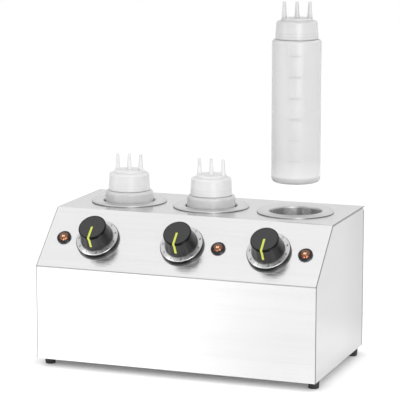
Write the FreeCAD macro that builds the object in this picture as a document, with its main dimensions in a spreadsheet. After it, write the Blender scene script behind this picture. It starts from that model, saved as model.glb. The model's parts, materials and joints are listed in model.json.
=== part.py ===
import FreeCAD, Part
import math
import os
import re
import Sketcher

# Countertop warmer for three squeeze bottles of topping.
# Frame: +Z up, the control panel faces -Y, +X to the right as one looks at the panel.
# The origin is on the counter, under the middle of the whole outline.
# Columns 1, 2 and 3 run from left to right: each is a well, a bottle, a knob and a lamp.

SIZES = {
    # Housing of bent stainless sheet
    "housing_width": 415,
    "housing_depth": 235,
    "housing_height": 206.7,
    "panel_rise": 71.5,
    "panel_slope": 42.9,
    "sheet_wall": 1.2,
    "bend_inside": 3,
    "side_flange": 12,
    "side_inset": 0.5,
    "side_bend": 1.6,
    "back_flange": 14,
    "pan_height": 14,
    "vent_length": 46,
    "vent_width": 5,
    "vent_spacing": 26,
    # Feet
    "foot_height": 12,
    "foot_top_radius": 8.2,
    "foot_bottom_radius": 7.2,
    "foot_edge_radius": 1.2,
    "foot_side_inset": 9.6,
    "foot_front_inset": 23.5,
    "foot_rear_inset": 21,
    "foot_screw_recess": 6.5,
    # Columns and their places
    "column_inset": 79.7,
    "dial_below_middle": 1.36,
    "outer_lamp_share": 0.71,
    "inner_lamp_share": 0.2614,
    # Wells
    "bottle_clearance": 2.25,
    "well_above_block": 1.4,
    "well_wall": 1,
    "well_floor_radius": 6,
    "well_flange_share": 0.6634,
    "well_flange_rise": 2.6,
    "well_flange_fall": 0.6,
    "well_lip_radius": 3,
    "well_edge_radius": 1.5,
    "well_hole_clearance": 1,
    # Bottles
    "bottle_radius": 35,
    "bottle_shoulder": 203,
    "bottle_wall": 1.4,
    "bottle_base_radius": 6,
    "bottle_shoulder_width": 8.2,
    "bottle_shoulder_radius": 4.5,
    "bottle_push_up": 2.5,
    "bottle_land": 1,
    "seat_gap": 0.3,
    "bottle_lift": 230,
    # Caps
    "cap_skirt_wall": 3.4,
    "cap_taper": 1.6,
    "cap_height": 25,
    "cap_wall": 1.8,
    "cap_edge_radius": 3,
    "cap_skirt_gap": 0.6,
    "platform_inset": 6.75,
    "platform_height": 4,
    "platform_foot_radius": 2,
    "nozzle_inset": 0.3,
    "nozzle_height": 23,
    "nozzle_base_radius": 3.8,
    "nozzle_tip_radius": 2.2,
    "nozzle_bore_radius": 1.2,
    "cap_turn": 24,
    # Dials
    "gasket_margin": 0.8,
    "gasket_height": 5,
    "gasket_edge_radius": 0.7,
    "gasket_screw_gap": 2.2,
    "dial_band": 6.65,
    "dial_step": 1,
    "dial_wall": 1.2,
    "dial_chamfer": 0.35,
    # Knobs and pointers
    "knob_gap": 0.8,
    "knob_height": 24.7,
    "knob_top_radius": 20,
    "knob_top_height": 3.7,
    "knob_edge_radius": 0.9,
    "knob_neck_step": 0.8,
    "knob_neck_rise": 0.7,
    "knob_flare_width": 4.55,
    "knob_rim_height": 1.8,
    "knob_wall": 2.8,
    "knob_boss_radius": 6.5,
    "knob_bore_relief": 2,
    "pointer_width": 3,
    "pointer_depth": 1,
    "pointer_proud": 0.3,
    "pointer_end": 7.3,
    "pointer_corner_radius": 1.1,
    # Thermostats and their spindles
    "thermostat_width": 38,
    "thermostat_length": 44,
    "thermostat_depth": 27,
    "thermostat_edge_radius": 3,
    "bush_radius": 5,
    "bush_height": 3.4,
    "terminal_width": 6.3,
    "terminal_wall": 0.8,
    "terminal_length": 8,
    "spindle_radius": 3,
    "spindle_flat_depth": 1.2,
    "spindle_fit": 0.06,
    "spindle_in_bush": 16,
    "spindle_in_knob": 14,
    # Lamps
    "bezel_rim": 2.9,
    "bezel_height": 3.4,
    "bezel_edge_radius": 1.6,
    "bezel_tube_radius": 6,
    "bezel_tube_length": 17,
    "bezel_tube_wall": 2,
    "lens_radius": 7.4,
    "lens_seat": 2.2,
    "lens_rim_height": 0.8,
    "lens_edge_radius": 4,
    "lamp_nut_across": 16,
    "lamp_nut_height": 3,
    # Heaters and sensors
    "band_wall": 2.6,
    "band_above_floor": 14,
    "band_below_bulb": 18.4,
    "band_gap": 9,
    "band_lug_reach": 13,
    "band_lug_height": 18,
    "band_lug_wall": 2,
    "bulb_radius": 3,
    "bulb_length": 56,
    "bulb_below_top": 36,
    "pocket_wall": 0.8,
    "pocket_length": 40,
    "pocket_fit": 0.1,
    "capillary_radius": 0.9,
    "capillary_drop": 16,
    "capillary_run": 26,
    "capillary_stub": 14,
    "capillary_curve": 8,
    # Mains entry
    "gland_reach": 20,
    "gland_across": 24,
    "gland_flange_height": 5,
    "gland_thread_radius": 8,
    "gland_thread_length": 12,
    "gland_cap_radius": 10.4,
    "gland_cap_curve": 4,
    "gland_bore_radius": 4,
    "gland_from_side": 67.5,
    "gland_up": 34,
    "gland_nut_height": 5,
    "block_length": 46,
    "block_width": 20,
    "block_height": 17,
    "block_well_radius": 3.2,
    "block_well_depth": 7,
    "block_spacing": 14,
    "block_from_back": 46,
    "stud_radius": 2,
    "stud_length": 18,
    "stud_from_gland": 45,
    "stud_from_back": 34,
    # Screws and nuts
    "screw_radius": 2,
    "screw_head_radius": 3.8,
    "screw_head_height": 2.4,
    "screw_reach": 8,
    "screw_slack": 0.2,
    "nut_across": 7,
    "nut_height": 3.2,
    "thermostat_screw_inset": 5,
    "back_screw_above_base": 22,
    "back_screw_below_top": 45,
    # Overrun of every cut past the skin that it opens
    "overrun": 2,
}

# Places and sizes that follow from the driving sizes. The wells follow the bottles, the
# columns follow the housing, and each flange takes its share of the way to the next one.
PLACES = {
    "column_pitch": "housing_width / 2 - column_inset",
    "well_radius": "bottle_radius + bottle_clearance",
    "well_outer_radius": "well_radius + well_wall",
    "well_flange_radius": "well_outer_radius + well_flange_share"
                          " * (column_pitch / 2 - well_outer_radius)",
    "side_x": "housing_width / 2 - side_inset",
    "front_y": "-(housing_depth + gland_reach) / 2",
    "back_y": "front_y + housing_depth",
    "top_z": "foot_height + housing_height",
    "bend_z": "top_z - panel_rise",
    "slope_run": "panel_rise / tan(panel_slope)",
    "bend_outside": "bend_inside + sheet_wall",
    "bend_shift_z": "sheet_wall * tan(45 - panel_slope / 2)",
    "bend_shift_y": "sheet_wall * tan(panel_slope / 2)",
    "well_y": "(front_y + slope_run + back_y) / 2",
    "well_floor_z": "foot_height + sheet_wall + block_height + well_above_block + well_wall",
    "well_depth": "top_z + well_flange_rise - well_floor_z",
    "bottle_z": "well_floor_z + seat_gap",
    "bottle_stand_radius": "bottle_radius - bottle_base_radius - bottle_land",
    "bottle_push_up_radius": "bottle_stand_radius - bottle_base_radius",
    "neck_radius": "bottle_radius - bottle_shoulder_width",
    "neck_height": "cap_height - cap_wall + cap_skirt_gap - seat_gap",
    "cap_z": "bottle_z + bottle_shoulder + cap_skirt_gap",
    "cap_skirt_radius": "neck_radius + seat_gap + cap_skirt_wall",
    "cap_top_radius": "cap_skirt_radius - cap_taper",
    "platform_radius": "cap_top_radius - platform_inset",
    "nozzle_spacing": "platform_radius - nozzle_base_radius - nozzle_inset",
    "dial_up_slope": "slope_run / cos(panel_slope) / 2 - dial_below_middle",
    "dial_y": "front_y + dial_up_slope * cos(panel_slope)",
    "dial_z": "bend_z + dial_up_slope * sin(panel_slope)",
    "thermostat_screw_offset": "thermostat_width / 2 - thermostat_screw_inset",
    "gasket_opening": "thermostat_screw_offset + screw_head_radius + gasket_screw_gap",
    "dial_opening": "gasket_opening + dial_step",
    "dial_top": "gasket_height + dial_wall",
    "knob_z": "dial_top + knob_gap",
    "knob_top_low": "knob_height - knob_top_height",
    "knob_neck_height": "knob_top_low - knob_neck_rise",
    "knob_neck_radius": "knob_top_radius - knob_neck_step",
    "knob_base_radius": "knob_neck_radius + knob_flare_width",
    "knob_bore_depth": "spindle_in_knob + knob_bore_relief",
    "dial_radius": "knob_base_radius + dial_band",
    "gasket_radius": "dial_radius + gasket_margin",
    "pointer_end_radius": "knob_neck_radius + knob_flare_width"
                          " * (knob_neck_height - pointer_end)"
                          " / (knob_neck_height - knob_rim_height)",
    "spindle_bottom": "-sheet_wall - spindle_in_bush",
    "spindle_top": "knob_z + spindle_in_knob",
    "bezel_radius": "lens_radius + bezel_rim",
    "bezel_bore_radius": "bezel_tube_radius - bezel_tube_wall",
    "lens_height": "lens_rim_height + lens_edge_radius",
    "lamp_near": "gasket_radius + bezel_radius",
    "outer_lamp_offset": "lamp_near + outer_lamp_share"
                         " * (column_inset - side_inset - side_flange - lamp_near"
                         " - bezel_radius)",
    "inner_lamp_offset": "lamp_near + inner_lamp_share * (column_pitch - 2 * lamp_near)",
    "bulb_y": "well_y - well_outer_radius - pocket_wall - pocket_fit - bulb_radius",
    "bulb_top": "top_z - bulb_below_top",
    "bulb_bottom": "bulb_top - bulb_length",
    "band_z": "well_floor_z + band_above_floor",
    "band_height": "bulb_bottom - band_below_bulb - band_z",
    "foot_x": "housing_width / 2 - foot_side_inset",
    "foot_front_y": "front_y + foot_front_inset",
    "foot_rear_y": "back_y - foot_rear_inset",
    "gland_x": "housing_width / 2 - gland_from_side",
    "gland_z": "foot_height + gland_up",
    "stud_x": "gland_x - stud_from_gland",
    "back_screw_low": "foot_height + back_screw_above_base",
    "back_screw_high": "top_z - back_screw_below_top",
}

# Columns as steps of the pitch from the middle one, how far each lamp lies from its
# column, how high each bottle stands above its seat, and how far its cap is turned. The
# third bottle is lifted out, and its row of nozzles is turned away from the panel.
COLUMNS = {1: -1, 2: 0, 3: 1}
LAMP_OFFSETS = {1: "-1 * outer_lamp_offset", 2: "inner_lamp_offset", 3: "outer_lamp_offset"}
BOTTLE_LIFTS = {1: "0", 2: "0", 3: "bottle_lift"}
CAP_TURNS = {1: None, 2: None, 3: "cap_turn"}

ALONG_X = FreeCAD.Vector(1, 0, 0)
ALONG_Z = FreeCAD.Vector(0, 0, 1)
QUARTER_TURN = 90

doc = FreeCAD.newDocument("topping_warmer")
pieces = []


def fill_sheet(title, rows, prefix):
    """Write one row for each named value, and give its cell the name as an alias."""
    table = doc.addObject("Spreadsheet::Sheet", title)
    for row, (name, content) in enumerate(rows.items(), start=1):
        table.set(f"A{row}", name)
        table.set(f"B{row}", prefix + str(content))
        table.setAlias(f"B{row}", name)
    return table


def formula(text):
    """Return the text with each named value written as a reference to its cell."""
    def cell(match):
        name = match.group()
        if name in SIZES:
            return f"sizes.{name}"
        if name in PLACES:
            return f"places.{name}"
        return name

    return re.sub(r"[a-z_]+", cell, str(text))


sizes = fill_sheet("sizes", SIZES, "")
places = fill_sheet("places", {name: formula(text) for name, text in PLACES.items()}, "=")
doc.recompute()


def value(text):
    """Work out a formula of named values as a plain number."""
    return float(sizes.evalExpression(formula(text)))


def bind(item, field, text):
    """Tie one property of an object to a formula of named values."""
    item.setExpression(field, formula(text))


def same(first, second):
    """Tell whether two coordinates agree, apart from rounding."""
    return math.isclose(first, second, rel_tol=0, abs_tol=value("screw_slack") / 1000)


def new_body(name, x="0", y="0", z="0", tilt=None, turn=None):
    """Start a sub-part with a frame of its own, tilted about X or turned about Z."""
    part = doc.addObject("PartDesign::Body", name)
    part.Label = name
    part.AllowCompound = True
    for axis, angle in ((ALONG_X, tilt), (ALONG_Z, turn)):
        if angle is not None:
            part.Placement = FreeCAD.Placement(FreeCAD.Vector(), FreeCAD.Rotation(axis, 1))
            bind(part, "Placement.Rotation.Angle", angle)
    for axis, place in zip("xyz", (x, y, z)):
        bind(part, f"Placement.Base.{axis}", place)
    pieces.append(part)
    return part


def new_sketch(part, plane, lift="0", up="0", tilt=None):
    """Start a sketch on one of the body's own planes, moved along it and off it."""
    base = [face for face in part.Origin.OriginFeatures if face.Role == plane][0]
    sketch = part.newObject("Sketcher::SketchObject", f"{part.Label}_sketch")
    sketch.AttachmentSupport = [(base, "")]
    sketch.MapMode = "FlatFace"
    if tilt is not None:
        turn = FreeCAD.Rotation(ALONG_X, 1)
        sketch.AttachmentOffset = FreeCAD.Placement(FreeCAD.Vector(), turn)
        bind(sketch, "AttachmentOffset.Rotation.Angle", tilt)
    bind(sketch, "AttachmentOffset.Base.y", up)
    bind(sketch, "AttachmentOffset.Base.z", lift)
    return sketch


def pin(sketch, item, end, across, up):
    """Hold one point of a sketch at a place given by two formulas."""
    for kind, text, axis in (("DistanceX", across, -2), ("DistanceY", up, -1)):
        if text == "0":
            sketch.addConstraint(Sketcher.Constraint("PointOnObject", item, end, axis))
            continue
        rule = Sketcher.Constraint(kind, -1, 1, item, end, value(text))
        number = sketch.addConstraint(rule)
        bind(sketch, f"Constraints[{number}]", text)


def draw_corner_arc(sketch, corner, before, after, radius):
    """Draw the arc that rounds a corner, and tell which of its ends comes first."""
    to_before = (before - corner).normalize()
    to_after = (after - corner).normalize()
    half = to_before.getAngle(to_after) / 2
    middle = (to_before + to_after).normalize()
    centre = corner + middle * (radius / math.sin(half))
    start = corner + to_before * (radius / math.tan(half)) - centre
    end = corner + to_after * (radius / math.tan(half)) - centre
    turns_left = start.cross(end).z > 0
    first, last = (start, end) if turns_left else (end, start)
    begin_angle = math.atan2(first.y, first.x)
    end_angle = math.atan2(last.y, last.x)
    circle = Part.Circle(centre, FreeCAD.Vector(0, 0, 1), radius)
    arc = sketch.addGeometry(Part.ArcOfCircle(circle, begin_angle, end_angle), False)
    return arc, (1, 2) if turns_left else (2, 1)


def trimmed(corner, towards, radius, other):
    """Return where a straight edge meets the arc that rounds its corner."""
    if not radius:
        return corner
    direction = (towards - corner).normalize()
    half = direction.getAngle((other - corner).normalize()) / 2
    return corner + direction * (radius / math.tan(half))


def draw_path(sketch, corners, closed=True):
    """Draw straight edges through corners, rounded where a corner has a third value."""
    count = len(corners)
    points = [FreeCAD.Vector(value(corner[0]), value(corner[1]), 0) for corner in corners]
    radii = [value(corner[2]) if len(corner) > 2 else 0 for corner in corners]
    edges = []
    for index in range(count if closed else count - 1):
        following = (index + 1) % count
        start = trimmed(points[index], points[following], radii[index], points[index - 1])
        end = trimmed(points[following], points[index], radii[following],
                      points[(following + 1) % count])
        edges.append(sketch.addGeometry(Part.LineSegment(start, end), False))
    for index in range(count):
        across, up = corners[index][:2]
        if not closed and index == count - 1:
            pin(sketch, edges[-1], 2, across, up)
            continue
        if not closed and index == 0:
            pin(sketch, edges[0], 1, across, up)
            continue
        before, after = edges[index - 1], edges[index]
        if not radii[index]:
            sketch.addConstraint(Sketcher.Constraint("Coincident", before, 2, after, 1))
            pin(sketch, after, 1, across, up)
            continue
        arc, (first, last) = draw_corner_arc(
            sketch, points[index], points[index - 1], points[(index + 1) % count], radii[index])
        sketch.addConstraint(Sketcher.Constraint("Tangent", before, 2, arc, first))
        sketch.addConstraint(Sketcher.Constraint("Tangent", arc, last, after, 1))
        mark = sketch.addGeometry(Part.Point(points[index]), True)
        sketch.addConstraint(Sketcher.Constraint("PointOnObject", mark, 1, before))
        sketch.addConstraint(Sketcher.Constraint("PointOnObject", mark, 1, after))
        pin(sketch, mark, 1, across, up)
        number = sketch.addConstraint(Sketcher.Constraint("Radius", arc, radii[index]))
        bind(sketch, f"Constraints[{number}]", corners[index][2])


def draw_box(sketch, left, right, low, high):
    """Draw a rectangle between two upright and two level lines."""
    draw_path(sketch, [(left, low), (right, low), (right, high), (left, high)])


def draw_hexagon(sketch, across, x="0", y="0"):
    """Draw a hexagon of a given size across its flats."""
    corners = []
    for step in range(6):
        angle = f"({step} * 60)"
        corners.append((f"{x} + {across} / 2 / cos(30) * cos{angle}",
                        f"{y} + {across} / 2 / cos(30) * sin{angle}"))
    draw_path(sketch, corners)


def draw_circles(sketch, centres, radius):
    """Draw equal circles at places given by formulas."""
    for across, up in centres:
        centre = FreeCAD.Vector(value(across), value(up), 0)
        circle = Part.Circle(centre, FreeCAD.Vector(0, 0, 1), value(radius))
        item = sketch.addGeometry(circle, False)
        pin(sketch, item, 3, across, up)
        number = sketch.addConstraint(Sketcher.Constraint("Radius", item, value(radius)))
        bind(sketch, f"Constraints[{number}]", radius)


def pad(part, sketch, length, both_ways=False, backwards=False):
    """Raise a sketch into a solid of a given length."""
    feature = part.newObject("PartDesign::Pad", f"{part.Label}_pad")
    feature.Profile = sketch
    feature.Reversed = backwards
    if both_ways:
        feature.SideType = "Symmetric"
    bind(feature, "Length", length)
    return feature


def pocket(part, sketch, depth, both_ways=False, backwards=False):
    """Cut a sketch into the solid to a given depth, against the sketch's own normal."""
    feature = part.newObject("PartDesign::Pocket", f"{part.Label}_pocket")
    feature.Profile = sketch
    feature.Reversed = backwards
    if both_ways:
        feature.SideType = "Symmetric"
    bind(feature, "Length", depth)
    return feature


def turn_profile(part, corners):
    """Turn an outline of distances from the axis and heights into a solid."""
    sketch = new_sketch(part, "XZ_Plane")
    draw_path(sketch, corners)
    feature = part.newObject("PartDesign::Revolution", f"{part.Label}_turned")
    feature.Profile = sketch
    feature.ReferenceAxis = (sketch, ["V_Axis"])
    feature.Angle = 360
    return feature


def raise_circles(part, centres, radius, low, length):
    """Add equal round studs that start at one height."""
    sketch = new_sketch(part, "XY_Plane", lift=low)
    draw_circles(sketch, centres, radius)
    return pad(part, sketch, length)


def sink_circles(part, centres, radius, high, depth):
    """Cut equal round holes downwards from one height."""
    sketch = new_sketch(part, "XY_Plane", lift=high)
    draw_circles(sketch, centres, radius)
    return pocket(part, sketch, depth)


def column_x(column):
    """Return the formula for the middle of a column."""
    return f"({COLUMNS[column]} * column_pitch)"


def lamp_x(column):
    """Return the formula for the lamp's distance from the middle of the housing."""
    return f"({LAMP_OFFSETS[column]} + {column_x(column)})"


# Housing


def build_wrap():
    """One sheet bent twice: front, sloped control panel and top, with all its holes."""
    part = new_body("housing_wrap")
    sketch = new_sketch(part, "YZ_Plane")
    draw_path(sketch, [
        ("front_y", "foot_height"),
        ("front_y", "bend_z", "bend_outside"),
        ("front_y + slope_run", "top_z", "bend_outside"),
        ("back_y", "top_z"),
        ("back_y", "top_z - sheet_wall"),
        ("front_y + slope_run + bend_shift_y", "top_z - sheet_wall", "bend_inside"),
        ("front_y + sheet_wall", "bend_z - bend_shift_z", "bend_inside"),
        ("front_y + sheet_wall", "foot_height"),
    ])
    pad(part, sketch, "housing_width", both_ways=True)
    wells = [(column_x(column), "well_y") for column in COLUMNS]
    sink_circles(part, wells, "well_outer_radius + well_hole_clearance",
                 "top_z + overrun", "sheet_wall + 2 * overrun")
    panel = new_sketch(part, "XY_Plane", up="dial_y", lift="dial_z", tilt="panel_slope")
    draw_circles(panel, [(column_x(column), "0") for column in COLUMNS],
                 "bush_radius + screw_slack")
    draw_circles(panel, [(lamp_x(column), "0") for column in COLUMNS],
                 "bezel_tube_radius + screw_slack")
    draw_circles(panel, thermostat_screw_places(), "screw_radius + screw_slack")
    pocket(part, panel, "sheet_wall + overrun")


def thermostat_screw_places():
    """List the screws that hold the thermostats, two to a column, in the panel's plane."""
    return [(f"{column_x(column)} + {side} * thermostat_screw_offset", "0")
            for column in COLUMNS for side in (-1, 1)]


def build_side(name, side):
    """A pressed side panel: its flanges lie under the wrap and behind the front."""
    part = new_body(name)
    sketch = new_sketch(part, "YZ_Plane", lift=f"{side} * side_x")
    draw_path(sketch, [
        ("front_y + sheet_wall", "foot_height"),
        ("front_y + sheet_wall", "bend_z - bend_shift_z", "bend_inside"),
        ("front_y + slope_run + bend_shift_y", "top_z - sheet_wall", "bend_inside"),
        ("back_y - sheet_wall", "top_z - sheet_wall", "bend_inside"),
        ("back_y - sheet_wall", "foot_height"),
    ])
    pad(part, sketch, "side_flange", backwards=side > 0)
    doc.recompute()
    skin = part.Tip
    outer_x = value(f"{side} * side_x")
    bottom_z = value("foot_height")
    rim = []
    for number, edge in enumerate(skin.Shape.Edges, start=1):
        box = edge.BoundBox
        lies_outside = same(box.XMin, outer_x) and same(box.XMax, outer_x)
        if lies_outside and not same(box.ZMax, bottom_z):
            rim.append(f"Edge{number}")
    bend = part.newObject("PartDesign::Fillet", f"{name}_bend")
    bend.Base = (skin, rim)
    bind(bend, "Radius", "side_bend + sheet_wall")
    doc.recompute()
    inner_x = value(f"{side} * (side_x - side_flange)")
    faces = []
    for number, face in enumerate(bend.Shape.Faces, start=1):
        box = face.BoundBox
        opens_inwards = same(box.XMin, inner_x) and same(box.XMax, inner_x)
        if opens_inwards or same(box.ZMax, bottom_z):
            faces.append(f"Face{number}")
    shell = part.newObject("PartDesign::Thickness", f"{name}_shell")
    shell.Base = (bend, faces)
    shell.Reversed = True
    bind(shell, "Value", "sheet_wall")


def back_screw_places():
    """List the screws of the back panel, in the panel's plane."""
    across = "(side_x - side_flange / 2 - sheet_wall)"
    return [(f"{side} * {across}", height)
            for side in (-1, 1) for height in ("back_screw_low", "back_screw_high")]


def build_back():
    """The back panel: a flat sheet with a top flange that lies under the wrap."""
    part = new_body("back_panel")
    sketch = new_sketch(part, "YZ_Plane")
    draw_path(sketch, [
        ("back_y", "foot_height"),
        ("back_y", "top_z - sheet_wall", "bend_outside"),
        ("back_y - back_flange", "top_z - sheet_wall"),
        ("back_y - back_flange", "top_z - 2 * sheet_wall"),
        ("back_y - sheet_wall", "top_z - 2 * sheet_wall", "bend_inside"),
        ("back_y - sheet_wall", "foot_height"),
    ])
    pad(part, sketch, "2 * side_x", both_ways=True)
    notches = new_sketch(part, "XZ_Plane", lift="-back_y - overrun")
    for side in (-1, 1):
        draw_box(notches, f"{side} * (side_x + overrun)",
                 f"{side} * (side_x - side_flange - screw_slack)",
                 "top_z - sheet_wall - bend_outside", "top_z + overrun")
    pocket(part, notches, "back_flange + 2 * overrun", backwards=True)
    holes = new_sketch(part, "XZ_Plane", lift="-back_y - overrun")
    draw_circles(holes, back_screw_places(), "screw_radius + screw_slack")
    draw_circles(holes, [("gland_x", "gland_z")],
                 "gland_thread_radius + screw_slack")
    pocket(part, holes, "sheet_wall + 2 * overrun", backwards=True)


def foot_places():
    """List the four feet: name, distance to the right and distance to the rear."""
    return [("foot_front_left", "-foot_x", "foot_front_y"),
            ("foot_front_right", "foot_x", "foot_front_y"),
            ("foot_rear_left", "-foot_x", "foot_rear_y"),
            ("foot_rear_right", "foot_x", "foot_rear_y")]


def build_base():
    """The base: a shallow pan with vents, which carries the feet and the mains parts."""
    part = new_body("base_plate", z="foot_height")
    sketch = new_sketch(part, "XY_Plane")
    draw_box(sketch, "-side_x + sheet_wall", "side_x - sheet_wall",
             "front_y + 2 * sheet_wall", "back_y - 2 * sheet_wall")
    pad(part, sketch, "pan_height")
    doc.recompute()
    block = part.Tip
    rim = [f"Edge{number}" for number, edge in enumerate(block.Shape.Edges, start=1)
           if same(edge.BoundBox.ZMin, 0)]
    bend = part.newObject("PartDesign::Fillet", "base_plate_bend")
    bend.Base = (block, rim)
    bind(bend, "Radius", "side_bend + sheet_wall")
    doc.recompute()
    opening = [f"Face{number}" for number, face in enumerate(bend.Shape.Faces, start=1)
               if same(face.BoundBox.ZMin, value("pan_height"))]
    shell = part.newObject("PartDesign::Thickness", "base_plate_shell")
    shell.Base = (bend, opening)
    shell.Reversed = True
    bind(shell, "Value", "sheet_wall")
    feet = [(x, y) for name, x, y in foot_places()]
    sink_circles(part, feet, "screw_radius + screw_slack", "sheet_wall + overrun",
                 "sheet_wall + 2 * overrun")
    stud = [("stud_x", "back_y - stud_from_back")]
    sink_circles(part, stud, "stud_radius + screw_slack", "sheet_wall + overrun",
                 "sheet_wall + 2 * overrun")
    vents = new_sketch(part, "XY_Plane", lift="sheet_wall + overrun")
    for step in (-2, -1, 0, 1, 2):
        middle = f"{step} * vent_spacing"
        draw_box(vents, f"{middle} - vent_width / 2", f"{middle} + vent_width / 2",
                 "well_y - vent_length / 2", "well_y + vent_length / 2")
    pocket(part, vents, "sheet_wall + 2 * overrun")


def build_foot(name, x, y):
    """A tapered rubber foot, recessed from below for its screw."""
    part = new_body(name, x=x, y=y)
    turn_profile(part, [
        ("screw_head_radius + screw_slack", "0"),
        ("foot_bottom_radius", "0", "foot_edge_radius"),
        ("foot_top_radius", "foot_height"),
        ("screw_radius + screw_slack", "foot_height"),
        ("screw_radius + screw_slack", "foot_screw_recess"),
        ("screw_head_radius + screw_slack", "foot_screw_recess"),
    ])


def build_foot_fasteners():
    """The screws that come up through the feet, and their nuts inside the pan."""
    feet = [(x, y) for name, x, y in foot_places()]
    screws = new_body("foot_screws")
    raise_circles(screws, feet, "screw_head_radius",
                  "foot_screw_recess - screw_head_height", "screw_head_height")
    raise_circles(screws, feet, "screw_radius", "foot_screw_recess",
                  "foot_height - foot_screw_recess + screw_reach")
    nuts = new_body("foot_nuts", z="foot_height + sheet_wall")
    sketch = new_sketch(nuts, "XY_Plane")
    for x, y in feet:
        draw_hexagon(sketch, "nut_across", x, y)
    draw_circles(sketch, feet, "screw_radius")
    pad(nuts, sketch, "nut_height")


def build_back_screws():
    """The screws that hold the back panel to the flanges of the side panels."""
    part = new_body("back_screws", y="back_y", tilt=QUARTER_TURN)
    raise_circles(part, back_screw_places(), "screw_head_radius",
                  "-screw_head_height", "screw_head_height")
    raise_circles(part, back_screw_places(), "screw_radius", "0", "sheet_wall")


# Wells, heaters and sensors


def build_well(column):
    """A drawn well: floor, wall, rounded lip and a domed flange that lies on the top."""
    part = new_body(f"well_pot_{column}", x=column_x(column), y="well_y", z="top_z")
    turn_profile(part, [
        ("0", "well_flange_rise - well_depth"),
        ("well_radius", "well_flange_rise - well_depth", "well_floor_radius"),
        ("well_radius", "well_flange_rise", "well_lip_radius"),
        ("well_flange_radius", "well_flange_rise - well_flange_fall", "well_edge_radius"),
        ("well_flange_radius", "0"),
        ("well_flange_radius - well_wall", "0"),
        ("well_flange_radius - well_wall",
         "well_flange_rise - well_flange_fall - well_wall",
         "well_edge_radius - well_wall"),
        ("well_outer_radius", "well_flange_rise - well_wall",
         "well_lip_radius - well_wall"),
        ("well_outer_radius", "well_flange_rise - well_depth - well_wall",
         "well_floor_radius + well_wall"),
        ("0", "well_flange_rise - well_depth - well_wall"),
    ])


def build_heater_band(column):
    """A clamped heater band round the lower half of a well, split at the rear."""
    part = new_body(f"heater_band_{column}", x=column_x(column), y="well_y", z="band_z")
    ring = new_sketch(part, "XY_Plane")
    draw_circles(ring, [("0", "0")], "well_outer_radius")
    draw_circles(ring, [("0", "0")], "well_outer_radius + band_wall")
    pad(part, ring, "band_height")
    split = new_sketch(part, "XY_Plane", lift="band_height + overrun")
    draw_box(split, "-band_gap / 2", "band_gap / 2",
             "well_outer_radius - overrun", "well_outer_radius + band_wall + overrun")
    pocket(part, split, "band_height + 2 * overrun")
    lugs = new_sketch(part, "XY_Plane", lift="(band_height - band_lug_height) / 2")
    for side in (-1, 1):
        draw_box(lugs, f"{side} * band_gap / 2", f"{side} * (band_gap / 2 + band_lug_wall)",
                 "well_outer_radius + band_wall / 2",
                 "well_outer_radius + band_wall + band_lug_reach")
    pad(part, lugs, "band_lug_height")
    hole = new_sketch(part, "YZ_Plane", lift="band_gap / 2 + band_lug_wall + overrun")
    draw_circles(hole, [("well_outer_radius + band_wall + band_lug_reach / 2",
                         "band_height / 2")], "screw_radius + screw_slack")
    pocket(part, hole, "band_gap + 2 * (band_lug_wall + overrun)")


def build_band_screws():
    """One screw and nut across the lugs of each heater band."""
    part = new_body("band_screws")
    places_across = [("well_y + well_outer_radius + band_wall + band_lug_reach / 2",
                      "band_z + band_height / 2")]
    for column in COLUMNS:
        outer = f"{column_x(column)} + band_gap / 2 + band_lug_wall"
        inner = f"{column_x(column)} - band_gap / 2 - band_lug_wall"
        head = new_sketch(part, "YZ_Plane", lift=outer)
        draw_circles(head, places_across, "screw_head_radius")
        pad(part, head, "screw_head_height")
        shank = new_sketch(part, "YZ_Plane", lift=outer)
        draw_circles(shank, places_across, "screw_radius")
        pad(part, shank, "band_gap + 2 * band_lug_wall + nut_height", backwards=True)
        nut = new_sketch(part, "YZ_Plane", lift=inner)
        draw_hexagon(nut, "nut_across", *places_across[0])
        pad(part, nut, "nut_height", backwards=True)


def build_bulb_pockets():
    """A short tube welded in front of each well, which holds the sensing bulb."""
    part = new_body("bulb_pockets", y="bulb_y",
                    z="(bulb_top + bulb_bottom - pocket_length) / 2")
    sketch = new_sketch(part, "XY_Plane")
    centres = [(column_x(column), "0") for column in COLUMNS]
    draw_circles(sketch, centres, "bulb_radius + pocket_fit")
    draw_circles(sketch, centres, "bulb_radius + pocket_fit + pocket_wall")
    pad(part, sketch, "pocket_length")


def build_sensing_bulb(column):
    """A sensing bulb and the capillary tube that joins it to its thermostat."""
    part = new_body(f"sensing_bulb_{column}", x=column_x(column))
    raise_circles(part, [("0", "bulb_y")], "bulb_radius", "bulb_bottom", "bulb_length")
    rear = "(sheet_wall + thermostat_depth)"
    stub = "(sheet_wall + thermostat_depth + capillary_stub)"
    low_z = "bulb_bottom - capillary_drop"
    spine = new_sketch(part, "YZ_Plane")
    draw_path(spine, [
        ("bulb_y", "bulb_bottom"),
        ("bulb_y", low_z, "capillary_curve"),
        ("bulb_y - capillary_run", low_z, "capillary_curve"),
        (f"dial_y + {stub} * sin(panel_slope)", f"dial_z - {stub} * cos(panel_slope)",
         "capillary_curve"),
        (f"dial_y + {rear} * sin(panel_slope)", f"dial_z - {rear} * cos(panel_slope)"),
    ], closed=False)
    section = new_sketch(part, "XY_Plane", lift="bulb_bottom")
    draw_circles(section, [("0", "bulb_y")], "capillary_radius")
    tube = part.newObject("PartDesign::AdditivePipe", f"capillary_{column}")
    tube.Profile = section
    tube.Spine = spine


# Controls on the sloped panel


def new_panel_body(name, across, lift="0"):
    """Start a sub-part that stands on the sloped panel, its own Z along the normal."""
    return new_body(name, x=across, y=f"dial_y - ({lift}) * sin(panel_slope)",
                    z=f"dial_z + ({lift}) * cos(panel_slope)", tilt="panel_slope")


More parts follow.
